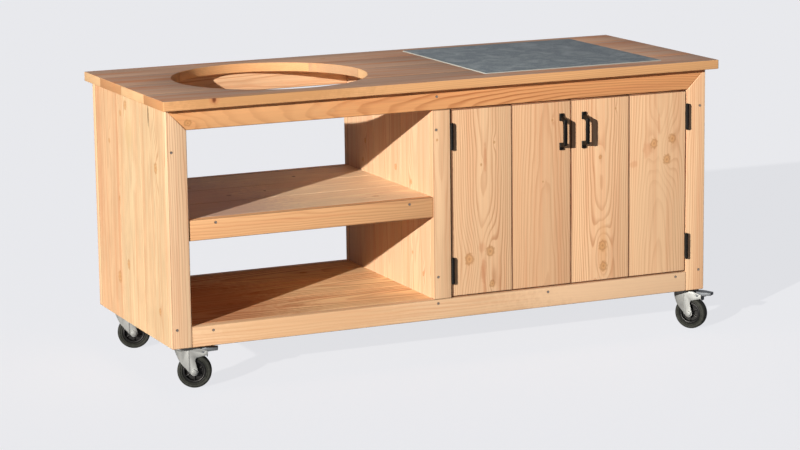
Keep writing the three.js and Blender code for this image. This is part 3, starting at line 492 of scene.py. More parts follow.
def colour_knots(wood):
    put = wood.put
    blotches = drawn_out(wood, KNOT_BLOTCH, KNOT_BLOTCH, 2.0, 0.5)
    blotches = put("MapRange", [blotches, 0.3, 0.7, 0.84, 1.2], **SMOOTH)
    off_knot = put("Math", [wood.off_knot, blotches], operation="MULTIPLY")
    rings = put("Math", [off_knot, KNOT_RINGS], operation="MULTIPLY")
    rings = put("Math", [rings, 1.0], operation="PINGPONG")
    knot = put("Mix", {SHARE: rings, BELOW: linear(KNOT_HEART), ABOVE: linear(KNOT_PALE)}, **COLOURS)
    rim = put("MapRange", [off_knot, 0.55, 0.9, 0.0, 0.5], **SMOOTH)
    knot = put("Mix", {SHARE: rim, BELOW: knot, ABOVE: linear(KNOT_RIM)}, **COLOURS)
    share = put("MapRange", [off_knot, 0.8, 1.3, 0.6, 0.0], **SMOOTH)
    wood.colour = put("Mix", {SHARE: share, BELOW: wood.colour, ABOVE: knot}, **COLOURS)
    heart = put("MapRange", [off_knot, 0.1, 0.45, 0.3, 0.0], **SMOOTH)
    wood.colour = put("Mix", {SHARE: heart, BELOW: wood.colour, ABOVE: linear(KNOT_RIM)}, **COLOURS)


print("rings in a knot:", KNOT_RINGS)

# %% [markdown]
# Oil and dirt gather in the joints and on the sharp edges of a board, its arrises, and draw it a thin dark
# outline. A point is near an arris where it is close to two sides of the board at once, so of its three
# distances to the sides, the middle one counts.

# %% Larch: stained joints and arrises
OIL_STAIN = "#4A1E0E"
EDGE_LINE = 3.0 * MM
STAINED_SHARE = 0.3


def stain_edges(wood, limits, strength):
    put = wood.put
    if wood.joint_line is not None:
        wood.colour = put("Mix", {
            SHARE: wood.joint_line, BELOW: wood.colour, ABOVE: linear(OIL_STAIN),
        }, **COLOURS)
    if limits is None:
        return
    middle, half_size = limits
    off_middle = put("VectorMath", [wood.place, middle], operation="SUBTRACT")
    off_middle = put("VectorMath", [off_middle], operation="ABSOLUTE")
    off_side = put("SeparateXYZ", [put("VectorMath", [half_size, off_middle], operation="SUBTRACT")])
    off_face, off_end = (off_side.node.outputs[axis] for axis in ("Y", "Z"))
    nearer = put("Math", [off_side, off_face], operation="MINIMUM")
    farther = put("Math", [off_side, off_face], operation="MAXIMUM")
    farther = put("Math", [farther, off_end], operation="MINIMUM")
    off_arris = put("Math", [nearer, farther], operation="MAXIMUM")
    share = put("MapRange", [off_arris, STAINED_SHARE * EDGE_LINE, EDGE_LINE, strength, 0.0], **SMOOTH)
    wood.colour = put("Mix", {SHARE: share, BELOW: wood.colour, ABOVE: linear(OIL_STAIN)}, **COLOURS)


print("edge line in mm:", round(EDGE_LINE / MM, 1))

# %% [markdown]
# Planed and oiled larch has a low sheen. The hard latewood takes a little more of it and stands a few
# hundredths of a millimetre proud of the earlywood and fibres, which the bump shows.

# %% Larch: sheen and relief
PLANED_RELIEF = 0.05 * MM
WOOD_IOR = 1.45
EARLYWOOD_ROUGHNESS = 0.66
LATEWOOD_ROUGHNESS = 0.54
FIBRE_RELIEF_SHARE = 0.6


def oil(wood, gloss):
    put = wood.put
    relief = put("Math", [wood.fibres, FIBRE_RELIEF_SHARE, wood.latewood], operation="MULTIPLY_ADD")
    rough = put("MapRange", [wood.latewood, 0.0, 1.0, EARLYWOOD_ROUGHNESS, LATEWOOD_ROUGHNESS], **SMOOTH)
    surface = put("BsdfPrincipled", {
        "Base Color": wood.colour,
        "Roughness": rough,
        "IOR": WOOD_IOR,
        "Specular IOR Level": gloss,
        "Normal": put("Bump", {"Height": relief, "Strength": 1.0, "Distance": PLANED_RELIEF}),
    })
    put("OutputMaterial", {"Surface": surface})


print("relief in mm:", round(PLANED_RELIEF / MM, 2))

# %% [markdown]
# All of that together is the material of one board or panel. What differs from board to board comes in as
# arguments, and what most boards share has a default.

# %% Larch: the whole material
RING_SPACING = 5.2 * MM
STREAK_WIDTH = 16 * MM


def larch(name, grain, across, tones, piths, lean, seed, skew=0.0, joints=(), knots=(), marks=(),
          worn_with_sky_sheen=False, figure=1.0, spacing=RING_SPACING, limits=None, ends=(), knot_level=None,
          streak=(STREAK_WIDTH, 0.32), joint_strength=0.6, mottle=0.0, gloss=0.25):
    """The larch of one board or panel. All lengths are in metres.
    joints: where the boards of a panel meet. tones, ends: the tones of their faces and of their end grain.
    piths: where the pith line of each board lies across it and into it, at the origin along the grain.
    lean, skew: how far the pith line nears the face and runs across the board, per metre of grain.
    knots: along, across, radius. marks: along, across, half length, half width, tone, strength.
    knot_level: the depth of knots and marks that do not go right through.
    figure: how strongly the rings show. streak: width and strength of the broad streaks.
    limits: middle and half size, across, into and along, of a board whose arrises are stained.
    joint_strength: how strongly joints and arrises are stained. mottle: how strong the soft clouds are."""
    wood = new_larch(name, grain, across)
    lay_boards(wood, piths, joints, tones, ends, seed, joint_strength)
    streak_share = weather_and_sky_sheen(wood, ends, worn_with_sky_sheen, streak[1])
    grow_rings(wood, piths[0][1], lean, skew)
    set_knots(wood, knots, knot_level)
    colour_rings(wood, spacing, figure, streak[0], streak_share, mottle)
    draw_marks(wood, marks)
    if knots:
        colour_knots(wood)
    stain_edges(wood, limits, joint_strength)
    oil(wood, gloss)
    return wood.material


print("ring spacing in mm:", round(RING_SPACING / MM, 1))

# %% [markdown]
# Each board gets its own cut of the tree: where its pith line lies, how far it leans, and its knots and
# marks, along and across the board, in the table's own coordinates. The box of its CAD node gives the rest.

# %% Larch: one board
def dress_board(node, grain, tone, pith_share, pith_depth, lean, face_axis=1, face_side=0, **details):
    """A single board. pith_share says how far across it the pith line lies, pith_depth how far behind the
    face that is seen, which is on the low (0) or high (1) side of the face_axis."""
    low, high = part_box(node)
    grain_axis = AXES.index(grain)
    across_axis = 3 - grain_axis - face_axis  # the third one, because 0, 1 and 2 add up to 3
    pith_across = low[across_axis] + pith_share * (high[across_axis] - low[across_axis])
    inwards = 1 if face_side == 0 else -1
    pith = (pith_across, (low, high)[face_side][face_axis] + inwards * pith_depth)
    order = (across_axis, face_axis, grain_axis)
    limits = [tuple(corner[axis] for axis in order) for corner in ((low + high) / 2, (high - low) / 2)]
    details.setdefault("limits", limits)
    material = larch(node, grain, AXES[across_axis], [tone], [pith], inwards * lean, **details)
    dress([node], material)


def larch_made():
    return sum(material.name.startswith("oiled_larch") for material in bpy.data.materials)


print("larch materials so far:", larch_made())

# %% [markdown]
# The doors are four boards, planed and oiled, each with its own knots. Resin has reddened the wood around
# some of them. The gap beside the left door is the widest, and a dark line painted along that board's edge
# stands for the shade in it. All door arrises are stained more strongly than the frame's: partly oil,
# partly painted shade of the gaps round the doors.

# %% Larch: the left door
# Stain on the door arrises: partly oil, partly painted shade of the gaps round the doors.
DOOR_EDGE_STAIN_AND_GAP_SHADE = 0.9
RESIN_RED = "#C9794F"
# A dark tone for the side panel's crack and for the painted shade in the left door's gap.
CRACK_AND_GAP_SHADE = "#3A2416"
door_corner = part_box("left_door_hinge_board")[0]
dress_board("left_door_hinge_board", "Z", "door", 0.53, 0.07, 0.012, seed=1.0, figure=0.85,
            joint_strength=DOOR_EDGE_STAIN_AND_GAP_SHADE, knots=[
    (0.3033, 0.0583, 14 * MM), (0.3209, 0.1280, 13 * MM), (0.2210, 0.1337, 9 * MM),
    (0.5859, 0.0997, 3 * MM), (0.6503, 0.1434, 3.5 * MM),
], marks=[
    (0.606, 0.1126, 60 * MM, 6 * MM, RESIN_RED, 0.4), (0.262, 0.1063, 52 * MM, 11 * MM, RESIN_RED, 0.45),
    (0.335, 0.100, 22 * MM, 16 * MM, RESIN_RED, 0.25), (0.205, 0.109, 40 * MM, 6 * MM, RESIN_RED, 0.4),
    # Painted shade: a dark line along the door's left edge, for the shadow in the gap beside it.
    (0.45, door_corner.x, 600 * MM, 4.5 * MM, CRACK_AND_GAP_SHADE, 0.7),
])
dress_board("left_door_closing_board", "Z", "door_dull", 0.56, 0.09, -0.02, seed=2.0, figure=0.7,
            joint_strength=DOOR_EDGE_STAIN_AND_GAP_SHADE, knots=[
    (0.5175, 0.3057, 2.5 * MM), (0.7019, 0.3384, 3 * MM),
])
print("larch materials so far:", larch_made())

# %% [markdown]
# The right door's left board was cut close to the pith, so its arches are long and its knots lie in a row.
# Its right board has three knots side by side, where the tree had a whorl of branches.

# %% Larch: the right door
dress_board("right_door_closing_board", "Z", "door", 0.53, 0.07, 0.014, seed=3.0, figure=0.85,
            joint_strength=DOOR_EDGE_STAIN_AND_GAP_SHADE, knots=[
    (0.3027, 0.5098, 13 * MM), (0.2380, 0.5130, 12 * MM), (0.5769, 0.5018, 5 * MM),
    (0.7224, 0.5541, 2.5 * MM),
], marks=[
    (0.29, 0.511, 110 * MM, 20 * MM, "#E9B27E", 0.5),
])
dress_board("right_door_hinge_board", "Z", "door", 0.52, 0.08, -0.03, seed=4.0, figure=0.6,
            joint_strength=DOOR_EDGE_STAIN_AND_GAP_SHADE, knots=[
    (0.6034, 0.6877, 12 * MM), (0.6139, 0.7518, 12 * MM), (0.5506, 0.7331, 12 * MM),
], marks=[
    (0.585, 0.665, 30 * MM, 20 * MM, RESIN_RED, 0.3), (0.545, 0.618, 14 * MM, 18 * MM, RESIN_RED, 0.3),
    (0.665, 0.7045, 45 * MM, 6 * MM, RESIN_RED, 0.35),
])
print("larch materials so far:", larch_made())

# %% [markdown]
# The face frame goes round the doors and the bays: upright stiles and level rails. The top rail is a redder
# board with strong, wide arches, and the bottom rail turns from a duller to a paler tone along its length.

# %% Larch: the front frame
TOP_RAIL_RINGS = 7.5 * MM
dress_board("front_left_stile", "Z", "stile", 1.3, 0.05, 0.008, seed=5.0, figure=0.8, joint_strength=0.5)
dress_board("front_right_stile", "Z", "frame", -0.3, 0.05, 0.008, seed=6.0, figure=0.55, joint_strength=0.3)
dress_board("front_middle_stile", "Z", "frame", 0.4, 0.06, 0.01, seed=7.0, figure=0.5, knots=[
    (0.672, -0.044, 3 * MM),
])
dress_board("front_top_rail", "X", "rail_red", 0.0, 0.07, 0.09, skew=-0.06, seed=8.0, figure=1.5,
            spacing=TOP_RAIL_RINGS, knots=[
    (-0.8193, 0.7812, 9 * MM),
], marks=[
    (-0.60, 0.79, 330 * MM, 60 * MM, "#E6B684", 0.5),
])
dress_board("front_bottom_rail", "X", "frame", 1.1, 0.06, 0.01, seed=39.0, figure=0.5,
            joint_strength=0.35, marks=[
    (-0.45, 0.18, 420 * MM, 110 * MM, "#DDAF82", 0.45), (0.62, 0.18, 520 * MM, 110 * MM, "#FFD9B2", 0.8),
])
dress_board("front_shelf_apron", "X", "apron", 1.2, 0.06, 0.01, seed=10.0, figure=0.6)
print("larch materials so far:", larch_made())

# %% [markdown]
# The side panels, the partition, the bottom, the shelf and the cupboard's back are several boards each.
# Their joints lie where the CAD model has its grooves, and each board has its own pith line and tone.

# %% Larch: one panel
DEPTHWISE_JOINTS = (-0.0962, 0.1058)
DEPTHWISE_PITHS = (-0.2, 0.0, 0.21)


def dress_boards(node, grain, tones, joints, pith_places, face_axis, face_side, seed, pith_depth=0.08,
                 lean=0.02, **details):
    """A panel of several boards. pith_places says where the pith line of each lies across the panel."""
    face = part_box(node)[face_side][face_axis]
    inwards = 1 if face_side == 0 else -1
    piths = [(place, face + inwards * pith_depth) for place in pith_places]
    across = AXES[3 - AXES.index(grain) - face_axis]
    material = larch(node, grain, across, tones, piths, inwards * lean, seed, joints=joints, **details)
    dress([node], material)


print("joints from front to back:", DEPTHWISE_JOINTS)

# %% [markdown]
# The left side panel faces the light, so it shows most: a scatter of knots, two reddened streaks, and a
# short drying crack at the top. The partition faces the same way and has smaller knots. The right side
# panel is out of the photograph's sight and is made alike.

# %% Larch: side panels and partition
dress_boards("left_side_panel", "Z", ["side", "side", "side_red"], DEPTHWISE_JOINTS, DEPTHWISE_PITHS, 0, 0,
             11.0, figure=0.8, joint_strength=0.5, mottle=0.07, knots=[
    (0.7896, 0.0312, 11 * MM), (0.7592, 0.0799, 7 * MM), (0.6622, 0.1916, 6 * MM),
    (0.6410, -0.2254, 13 * MM), (0.4987, 0.1105, 6 * MM), (0.2578, 0.1302, 14 * MM),
    (0.3106, 0.0437, 11 * MM), (0.2208, -0.2294, 9 * MM),
], marks=[
    (0.7100, 0.0100, 70 * MM, 45 * MM, "#D9B784", 0.35), (0.5900, -0.0300, 60 * MM, 26 * MM, "#EBD3AC", 0.5),
    (0.7850, -0.1740, 42 * MM, 5 * MM, CRACK_AND_GAP_SHADE, 0.9),
    (0.60, 0.29, 400 * MM, 30 * MM, RESIN_RED, 0.25), (0.50, 0.12, 400 * MM, 14 * MM, RESIN_RED, 0.2),
])
dress_boards("right_side_panel", "Z", ["side"], DEPTHWISE_JOINTS, DEPTHWISE_PITHS, 0, 1, 12.0, figure=0.8,
             knots=[(0.62, -0.15, 8 * MM), (0.35, 0.03, 9 * MM), (0.70, 0.20, 6 * MM)])
dress_boards("partition", "Z", ["partition"], DEPTHWISE_JOINTS, DEPTHWISE_PITHS, 0, 0, 13.0, figure=0.8,
             joint_strength=0.35, knots=[
    (0.5519, -0.0582, 8 * MM), (0.5231, -0.1701, 6 * MM), (0.5995, 0.1718, 7 * MM),
    (0.5365, 0.1920, 6 * MM), (0.3077, -0.1756, 4 * MM), (0.2558, -0.2518, 6 * MM),
])
print("larch materials so far:", larch_made())

# %% [markdown]
# The shelf and the bottom are seen at a low angle, where gloss would wash out their colour. They are
# scuffed by what stands on them and have little oil left, so they have less gloss. Both are painted darker
# towards the left end, where the shade in the bays lies: greyer on the shelf, and redder on the bottom, a
# board with wide rings.

# %% Larch: shelf, bottom and back
KNOT_DARK = "#6E3A22"
# Painted shade: the two tones that darken the left ends of the shelf and the bottom, where the bays' shadow falls.
SHELF_PAINTED_SHADE = "#C6A29A"
BOTTOM_PAINTED_SHADE = "#CB8058"
BOTTOM_RINGS = 12 * MM
BOTTOM_STREAKS = (24 * MM, 0.4)
dress_boards("shelf_boards", "X", ["shelf"], DEPTHWISE_JOINTS, DEPTHWISE_PITHS, 2, 1, 14.0, figure=0.9,
             mottle=0.05, streak=(STREAK_WIDTH, 0.1), gloss=0.2, knots=[
    (-0.2000, -0.2300, 9 * MM), (-0.6500, 0.1600, 8 * MM),
], marks=[
    (-0.2882, 0.1992, 8 * MM, 9 * MM, KNOT_DARK, 0.85), (-0.5814, -0.0096, 10 * MM, 9 * MM, KNOT_DARK, 0.85),
    (-0.4583, 0.0102, 6 * MM, 8 * MM, KNOT_DARK, 0.85),
    # Painted shade over the shelf's left end.
    (-0.80, -0.10, 420 * MM, 700 * MM, SHELF_PAINTED_SHADE, 0.6),
])
dress_boards("bottom_boards", "X", ["bottom"], DEPTHWISE_JOINTS, DEPTHWISE_PITHS, 2, 1, 15.0, figure=1.6,
             spacing=BOTTOM_RINGS, pith_depth=0.06, lean=0.05, mottle=0.08, streak=BOTTOM_STREAKS, gloss=0.0,
             knots=[
    (-0.2567, 0.2103, 9 * MM), (-0.62, -0.10, 8 * MM),
], marks=[
    (-0.3754, -0.1364, 120 * MM, 18 * MM, RESIN_RED, 0.4),
    (-0.4775, -0.2068, 100 * MM, 14 * MM, RESIN_RED, 0.4),
    # Painted shade over the bottom's left end.
    (-0.82, -0.10, 480 * MM, 700 * MM, BOTTOM_PAINTED_SHADE, 0.6),
])

BACK_BOARDS = 4
back_low, back_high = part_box("cupboard_back")
back_pitch = (back_high.x - back_low.x) / BACK_BOARDS
back_joints = [back_low.x + number * back_pitch for number in range(1, BACK_BOARDS)]
back_piths = [back_low.x + (number + 0.5) * back_pitch for number in range(BACK_BOARDS)]
dress_boards("cupboard_back", "Z", ["inside"], back_joints, back_piths, 1, 1, 16.0, knots=[
    (0.62, 0.08, 8 * MM), (0.35, 0.33, 9 * MM), (0.50, 0.55, 7 * MM), (0.70, 0.75, 8 * MM),
])
print("boards in the cupboard's back:", BACK_BOARDS)

# %% [markdown]
# The rear frame, the battens inside the doors, the stop strip, the caster bearers and the frame under the
# slab are plain boards of the same larch. Four groups take them, each with one direction of grain, and
# each board in a group has its own seed.

# %% Larch: rear frame, battens and bearers
PLAIN_BOARDS = (
    (["rear_left_stile", "rear_middle_stile", "rear_right_stile"], "Z", "frame", 1, 1, 17.0),
    (["rear_top_rail", "rear_bottom_rail", "rear_shelf_apron"], "X", "frame", 1, 1, 20.0),
    (["left_door_batten_lower", "left_door_batten_upper", "right_door_batten_lower",
      "right_door_batten_upper", "door_stop"], "X", "inside", 1, 1, 23.0),
    (["left_caster_bearer", "right_caster_bearer", "slab_support_frame"], "Y", "inside", 2, 0, 28.0),
)
for nodes, grain, tone, face_axis, face_side, first_seed in PLAIN_BOARDS:
    for number, node in enumerate(nodes):
        dress_board(node, grain, tone, 0.4, 0.06, 0.01, face_axis, face_side, seed=first_seed + number)
print("larch materials so far:", larch_made())

# %% [markdown]
# The worktop is four planks laid lengthwise. The two inner ones are sawn through by the round cut-out and
# by the slab, so each is three pieces, and the same seed on all of them lets the grain run on from piece
# to piece. Its knots lie 3 mm under the top face, and the front edge carries a broad darker stretch.

# %% Larch: worktop
KNOT_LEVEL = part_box("worktop_front_plank")[1].z - 3 * MM
TOP_LOOK = {"worn_with_sky_sheen": True, "figure": 0.6, "streak": (34 * MM, 0.85)}
dress_board("worktop_front_plank", "X", "worktop", 0.5, 0.2, 0.02, 2, 1, seed=42.0, ends=("#CF9969",),
            limits=None, knot_level=KNOT_LEVEL, knots=[
    (0.62, -0.25, 7 * MM),
], marks=[
    (-0.60, -0.3635, 420 * MM, 34 * MM, "#CE9A67", 0.75),
    (-0.7471, -0.3580, 17 * MM, 15 * MM, RESIN_RED, 0.5),
    (-0.7471, -0.3590, 9 * MM, 11 * MM, KNOT_DARK, 0.9),
], **TOP_LOOK)
dress_board("worktop_rear_plank", "X", "worktop", 0.5, 0.2, 0.02, 2, 1, seed=32.0, ends=("#D9B78D",),
            limits=None, knot_level=KNOT_LEVEL, knots=[
    (-0.15, 0.28, 7 * MM), (0.35, 0.34, 6 * MM),
], **TOP_LOOK)
WORKTOP_JOINT = (0.0126,)
INNER_PITHS = (-0.09, 0.11)
PALE_END = "#E6C294"
RED_END = "#CE9A6C"
DULL_END = "#C8A482"
for node, rear_end in (("worktop_left_boards", RED_END), ("worktop_middle_boards", DULL_END),
                       ("worktop_right_boards", RED_END)):
    dress_boards(node, "X", ["worktop"], WORKTOP_JOINT, INNER_PITHS, 2, 1, 33.0, pith_depth=0.2,
                 ends=(PALE_END, rear_end), **TOP_LOOK)
print("larch materials:", larch_made())

# %% [markdown]
# The slab is a dark blue-grey stone with a honed face: fine mottled grains of two greys, faint paler clouds
# and a dull sheen. The grains are drawn coarser than real ones, so that they show. The slab's sawn and
# eased edges are paler than its face, and as the slab never turns, the way a face points tells them apart.

# %% Honed stone
STONE_GRAIN = 3.5 * MM
STONE_CLOUD = 70 * MM
STONE_PITS = 0.2 * MM
stone, put = new_material("honed_blue_stone")
place = put("TexCoord", output="Object")
grains = put("TexNoise", {"Vector": place, "Scale": 1 / STONE_GRAIN, "Detail": 3.0})
clouds = put("TexNoise", {
    "Vector": place, "Scale": 1 / STONE_CLOUD, "Detail": 6.0, "Roughness": 0.72, "Distortion": 0.8,
})
grainy = put("MapRange", [grains, 0.35, 0.65])
cloudy = put("MapRange", [clouds, 0.45, 0.68, 0.0, 0.85])
colour = put("Mix", {SHARE: grainy, BELOW: linear("#66727B"), ABOVE: linear("#89959D")}, **COLOURS)
colour = put("Mix", {SHARE: cloudy, BELOW: colour, ABOVE: linear("#A8B2B8")}, **COLOURS)
normal = put("NewGeometry", output="Normal")
upwards = put("VectorMath", [normal, (0, 0, 1)], "Value", operation="DOT_PRODUCT")
on_face = put("MapRange", [upwards, 0.8, 0.97])
colour = put("Mix", {SHARE: on_face, BELOW: linear("#B9BBB4"), ABOVE: colour}, **COLOURS)
surface = put("BsdfPrincipled", {
    "Base Color": colour,
    "Roughness": put("MapRange", [clouds, 0.0, 1.0, 0.5, 0.7]),
    "Specular IOR Level": 0.4,
    "Normal": put("Bump", {"Height": grains, "Strength": 0.5, "Distance": STONE_PITS}),
})
put("OutputMaterial", {"Surface": surface})
dress(["stone_slab"], stone)
print("stone grain in mm:", round(STONE_GRAIN / MM, 1))

# %% [markdown]
# Handles and hinges are steel with a satin black powder coat. Its skin has the fine texture of orange peel,
# and handling has rubbed it a little paler in places.

# %% Black powder coat
PEEL_GRAIN = 0.9 * MM
PEEL_RELIEF = 0.08 * MM
RUBBED_PATCH = 12 * MM
powder_coat, put = new_material("satin_black_powder_coat")
place = put("TexCoord", output="Object")
peel = put("TexNoise", {"Vector": place, "Scale": 1 / PEEL_GRAIN, "Detail": 2.0})
rubbed = put("TexNoise", {"Vector": place, "Scale": 1 / RUBBED_PATCH, "Detail": 4.0})
rubbed = put("MapRange", [rubbed, 0.45, 0.8, 0.0, 0.6])
surface = put("BsdfPrincipled", {
    "Base Color": put("Mix", {SHARE: rubbed, BELOW: linear("#0B0A0A"), ABOVE: linear("#191715")}, **COLOURS),
    "Roughness": put("MapRange", [peel, 0.0, 1.0, 0.38, 0.52]),
    "Specular IOR Level": 0.22,
    "Normal": put("Bump", {"Height": peel, "Strength": 0.6, "Distance": PEEL_RELIEF}),
})
put("OutputMaterial", {"Surface": surface})
dress([node for node in frame["nodes"] if "hinge_leaf" in node or node.endswith("handle")], powder_coat)
print("powder coat grain in mm:", round(PEEL_GRAIN / MM, 1))

# %% [markdown]
# The casters are pressed steel, zinc plated: a light grey metal with faint rolling marks, dulled by use.
# The pedals are plated too, but darker and a little blue.

# %% Zinc plate
ZINC_CLOUD = 14 * MM
ROLLING_MARK = 1.2 * MM
ROLLING_RELIEF = 0.04 * MM
for name, darker, lighter, endings in (
    ("zinc_plated_steel", "#969999", "#ADB0B0", ("fork", "caster_plate")),
    ("zinc_plated_pedal_steel", "#63686E", "#848A91", ("brake_pedal",)),
):
    zinc, put = new_material(name)
    place = put("TexCoord", output="Object")
    cloudy = put("TexNoise", {"Vector": place, "Scale": 1 / ZINC_CLOUD, "Detail": 3.0, "Roughness": 0.5})
    marks = put("TexNoise", {"Vector": place, "Scale": 1 / ROLLING_MARK, "Detail": 2.0})
    surface = put("BsdfPrincipled", {
        "Base Color": put("Mix", {SHARE: cloudy, BELOW: linear(darker), ABOVE: linear(lighter)}, **COLOURS),
        "Roughness": put("MapRange", [cloudy, 0.3, 0.7, 0.56, 0.68]),
        "Metallic": 0.7,
        "Normal": put("Bump", {"Height": marks, "Strength": 0.4, "Distance": ROLLING_RELIEF}),
    })
    put("OutputMaterial", {"Surface": surface})
    dress([node for node in frame["nodes"] if node.endswith(endings)], zinc)
print("zinc cloud in mm:", round(ZINC_CLOUD / MM))

# %% [markdown]
# The tyres are dark grey moulded rubber, dull and a little dusty in patches.

# %% Rubber
RUBBER_DUST = 8 * MM
RUBBER_RELIEF = 0.1 * MM
rubber, put = new_material("dark_rubber")
dust = put("TexNoise", {"Vector": put("TexCoord", output="Object"), "Scale": 1 / RUBBER_DUST, "Detail": 5.0})
dusty = put("MapRange", [dust, 0.45, 0.8, 0.0, 0.5])
surface = put("BsdfPrincipled", {
    "Base Color": put("Mix", {SHARE: dusty, BELOW: linear("#242622"), ABOVE: linear("#444740")}, **COLOURS),
    "Roughness": 0.68,
    "Specular IOR Level": 0.4,
    "Normal": put("Bump", {"Height": dust, "Strength": 0.5, "Distance": RUBBER_RELIEF}),
})
put("OutputMaterial", {"Surface": surface})
dress([node for node in frame["nodes"] if node.endswith("wheel")], rubber)
print("rubber dust in mm:", round(RUBBER_DUST / MM))

# %% [markdown]
# The rims are moulded black plastic, smoother and glossier than the rubber. On such a plain surface one
# noise can do all the work: where it is high, the surface is lighter, duller and stands a little proud. The
# screws further down are finished in the same way, so this is a function.

# %% Plastic rims
def speckled(name, grain, detail, dark, light, roughness, relief, **shine):
    """A material of two close colours in specks. relief: strength and height of its bumps."""
    material, put = new_material(name)
    place = put("TexCoord", output="Object")
    specks = put("TexNoise", {"Vector": place, "Scale": 1 / grain, "Detail": detail})
    surface = put("BsdfPrincipled", {
        "Base Color": put("Mix", {SHARE: specks, BELOW: linear(dark), ABOVE: linear(light)}, **COLOURS),
        "Roughness": put("MapRange", [specks, 0.0, 1.0, *roughness]),
        "Normal": put("Bump", {"Height": specks, "Strength": relief[0], "Distance": relief[1]}),
        **shine,
    })
    put("OutputMaterial", {"Surface": surface})
    return material


PLASTIC_GRAIN = 6 * MM
plastic = speckled("black_moulded_plastic", PLASTIC_GRAIN, 3.0, "#0F0F10", "#1E1E1F", (0.35, 0.5),
                   (0.4, 0.05 * MM))
print("plastic grain in mm:", round(PLASTIC_GRAIN / MM))

# %% [markdown]
# Pieces that are added here start from a Blender primitive or from a copy of a CAD piece. Blender's tools
# act on all that is selected, so the first helper selects one piece and nothing else. The others name a
# new piece, smooth it, round its edges, bake its place into its mesh, and copy it with a mesh of its own.

# %% Modelling helpers
SMOOTH_WITHIN = math.radians(35)
BEVEL_STEPS = 2


def only(piece):
    bpy.ops.object.select_all(action="DESELECT")
    piece.select_set(True)
    bpy.context.view_layer.objects.active = piece


def started(name, material):
    """The primitive just added, named and with its material."""
    piece = bpy.context.object
    piece.name = name
    piece.data.name = name
    piece.data.materials.append(material)
    return piece


def smoothed(piece):
    only(piece)
    bpy.ops.object.shade_smooth_by_angle(angle=SMOOTH_WITHIN)
    return piece


def rounded(piece, width, segments=BEVEL_STEPS, **limits):
    bevel = piece.modifiers.new("rounded", "BEVEL")
    bevel.width = width
    bevel.segments = segments
    for name, value in limits.items():
        setattr(bevel, name, value)
    bpy.ops.object.modifier_apply(modifier=bevel.name)


def settled(piece, place, turn):
    """Puts a piece modelled at the origin in its place and bakes that into its mesh."""
    piece.matrix_world = Matrix.Translation(place) @ turn
    only(piece)
    bpy.ops.object.transform_apply(location=True, rotation=True, scale=True)
    return piece


def copied(piece, name):
    only(piece)
    bpy.ops.object.duplicate(linked=False)
    twin = bpy.context.object
    twin.name = name
    twin.data.name = name
    return twin


print("edges flatter than this are shaded smooth, in degrees:", round(math.degrees(SMOOTH_WITHIN)))

# %% [markdown]
# A tyre or a rim is round about its axle, as if turned on a lathe, so its section is drawn and spun. The
# section starts as a small plane merged to one corner. That corner is pulled from point to point, the loop
# is closed, and its face is taken out again, because only the outline is spun.

# %% Turning a section
DOUBLES = 0.01 * MM


def turned(name, material, profile, steps):
    """A turned piece. profile: radius and height of each corner in millimetres."""
    bpy.ops.mesh.primitive_plane_add(size=MM, location=(0, 0, 0))
    piece = started(name, material)
    bpy.ops.object.mode_set(mode="EDIT")
    bpy.ops.mesh.select_all(action="SELECT")
    bpy.ops.mesh.merge(type="CENTER")
    corners = [Vector((radius * MM, 0, height * MM)) for radius, height in profile]
    bpy.ops.transform.translate(value=corners[0])
    for corner, following in zip(corners, corners[1:]):
        bpy.ops.mesh.extrude_vertices_move(TRANSFORM_OT_translate={"value": following - corner})
    bpy.ops.mesh.select_all(action="SELECT")
    bpy.ops.mesh.edge_face_add()
    bpy.ops.mesh.delete(type="ONLY_FACE")
    bpy.ops.mesh.select_all(action="SELECT")
    bpy.ops.mesh.spin(steps=steps, angle=2 * math.pi, center=(0, 0, 0), axis=(0, 0, 1))
    bpy.ops.mesh.select_all(action="SELECT")
    bpy.ops.mesh.remove_doubles(threshold=DOUBLES)
    bpy.ops.mesh.normals_make_consistent(inside=False)
    bpy.ops.object.mode_set(mode="OBJECT")
    return piece


print("corners nearer than this are merged, in mm:", round(DOUBLES / MM, 2))

# %% [markdown]
# A wheel is a rubber tyre with a rounded tread and a moulded groove on each side, on a plastic rim with a
# hub. Both are the same on their two sides, so only half of each section is written down, in millimetres,
# from the middle of the wheel outwards.

# %% Tyre and rim
TYRE_HALF_PROFILE = [
    (35.0, 12.2), (35.6, 13.4), (36.8, 14.2), (38.2, 13.2), (39.6, 13.0), (41.0, 14.6), (43.6, 15.0),
    (46.2, 14.4), (48.2, 13.0), (49.2, 11.2), (49.7, 9.0), (50.0, 5.0),
]
RIM_HALF_PROFILE = [
    (6.4, 18.8), (7.0, 19.4), (10.4, 19.4), (11.4, 18.6), (11.8, 17.0), (12.4, 4.4), (13.4, 3.2),
    (25.0, 3.2), (26.4, 4.6), (27.2, 11.6), (28.4, 13.4), (30.0, 13.8), (31.6, 12.6), (33.4, 11.8),
    (34.6, 12.8), (35.0, 12.2),
]
WHEEL_STEPS = 64


def both_sides(half_profile):
    return half_profile + [(radius, -height) for radius, height in reversed(half_profile)]


tyre = smoothed(turned("tyre_model", rubber, both_sides(TYRE_HALF_PROFILE), WHEEL_STEPS))
rim = turned("rim_model", plastic, both_sides(RIM_HALF_PROFILE), WHEEL_STEPS)
print("tyre corners:", len(tyre.data.vertices), "rim corners:", len(rim.data.vertices))

# %% [markdown]
# The rim's thin web is stiffened by six ribs between the hub and the bead. A rib is a small block with
# rounded edges, and the six are joined to the rim.

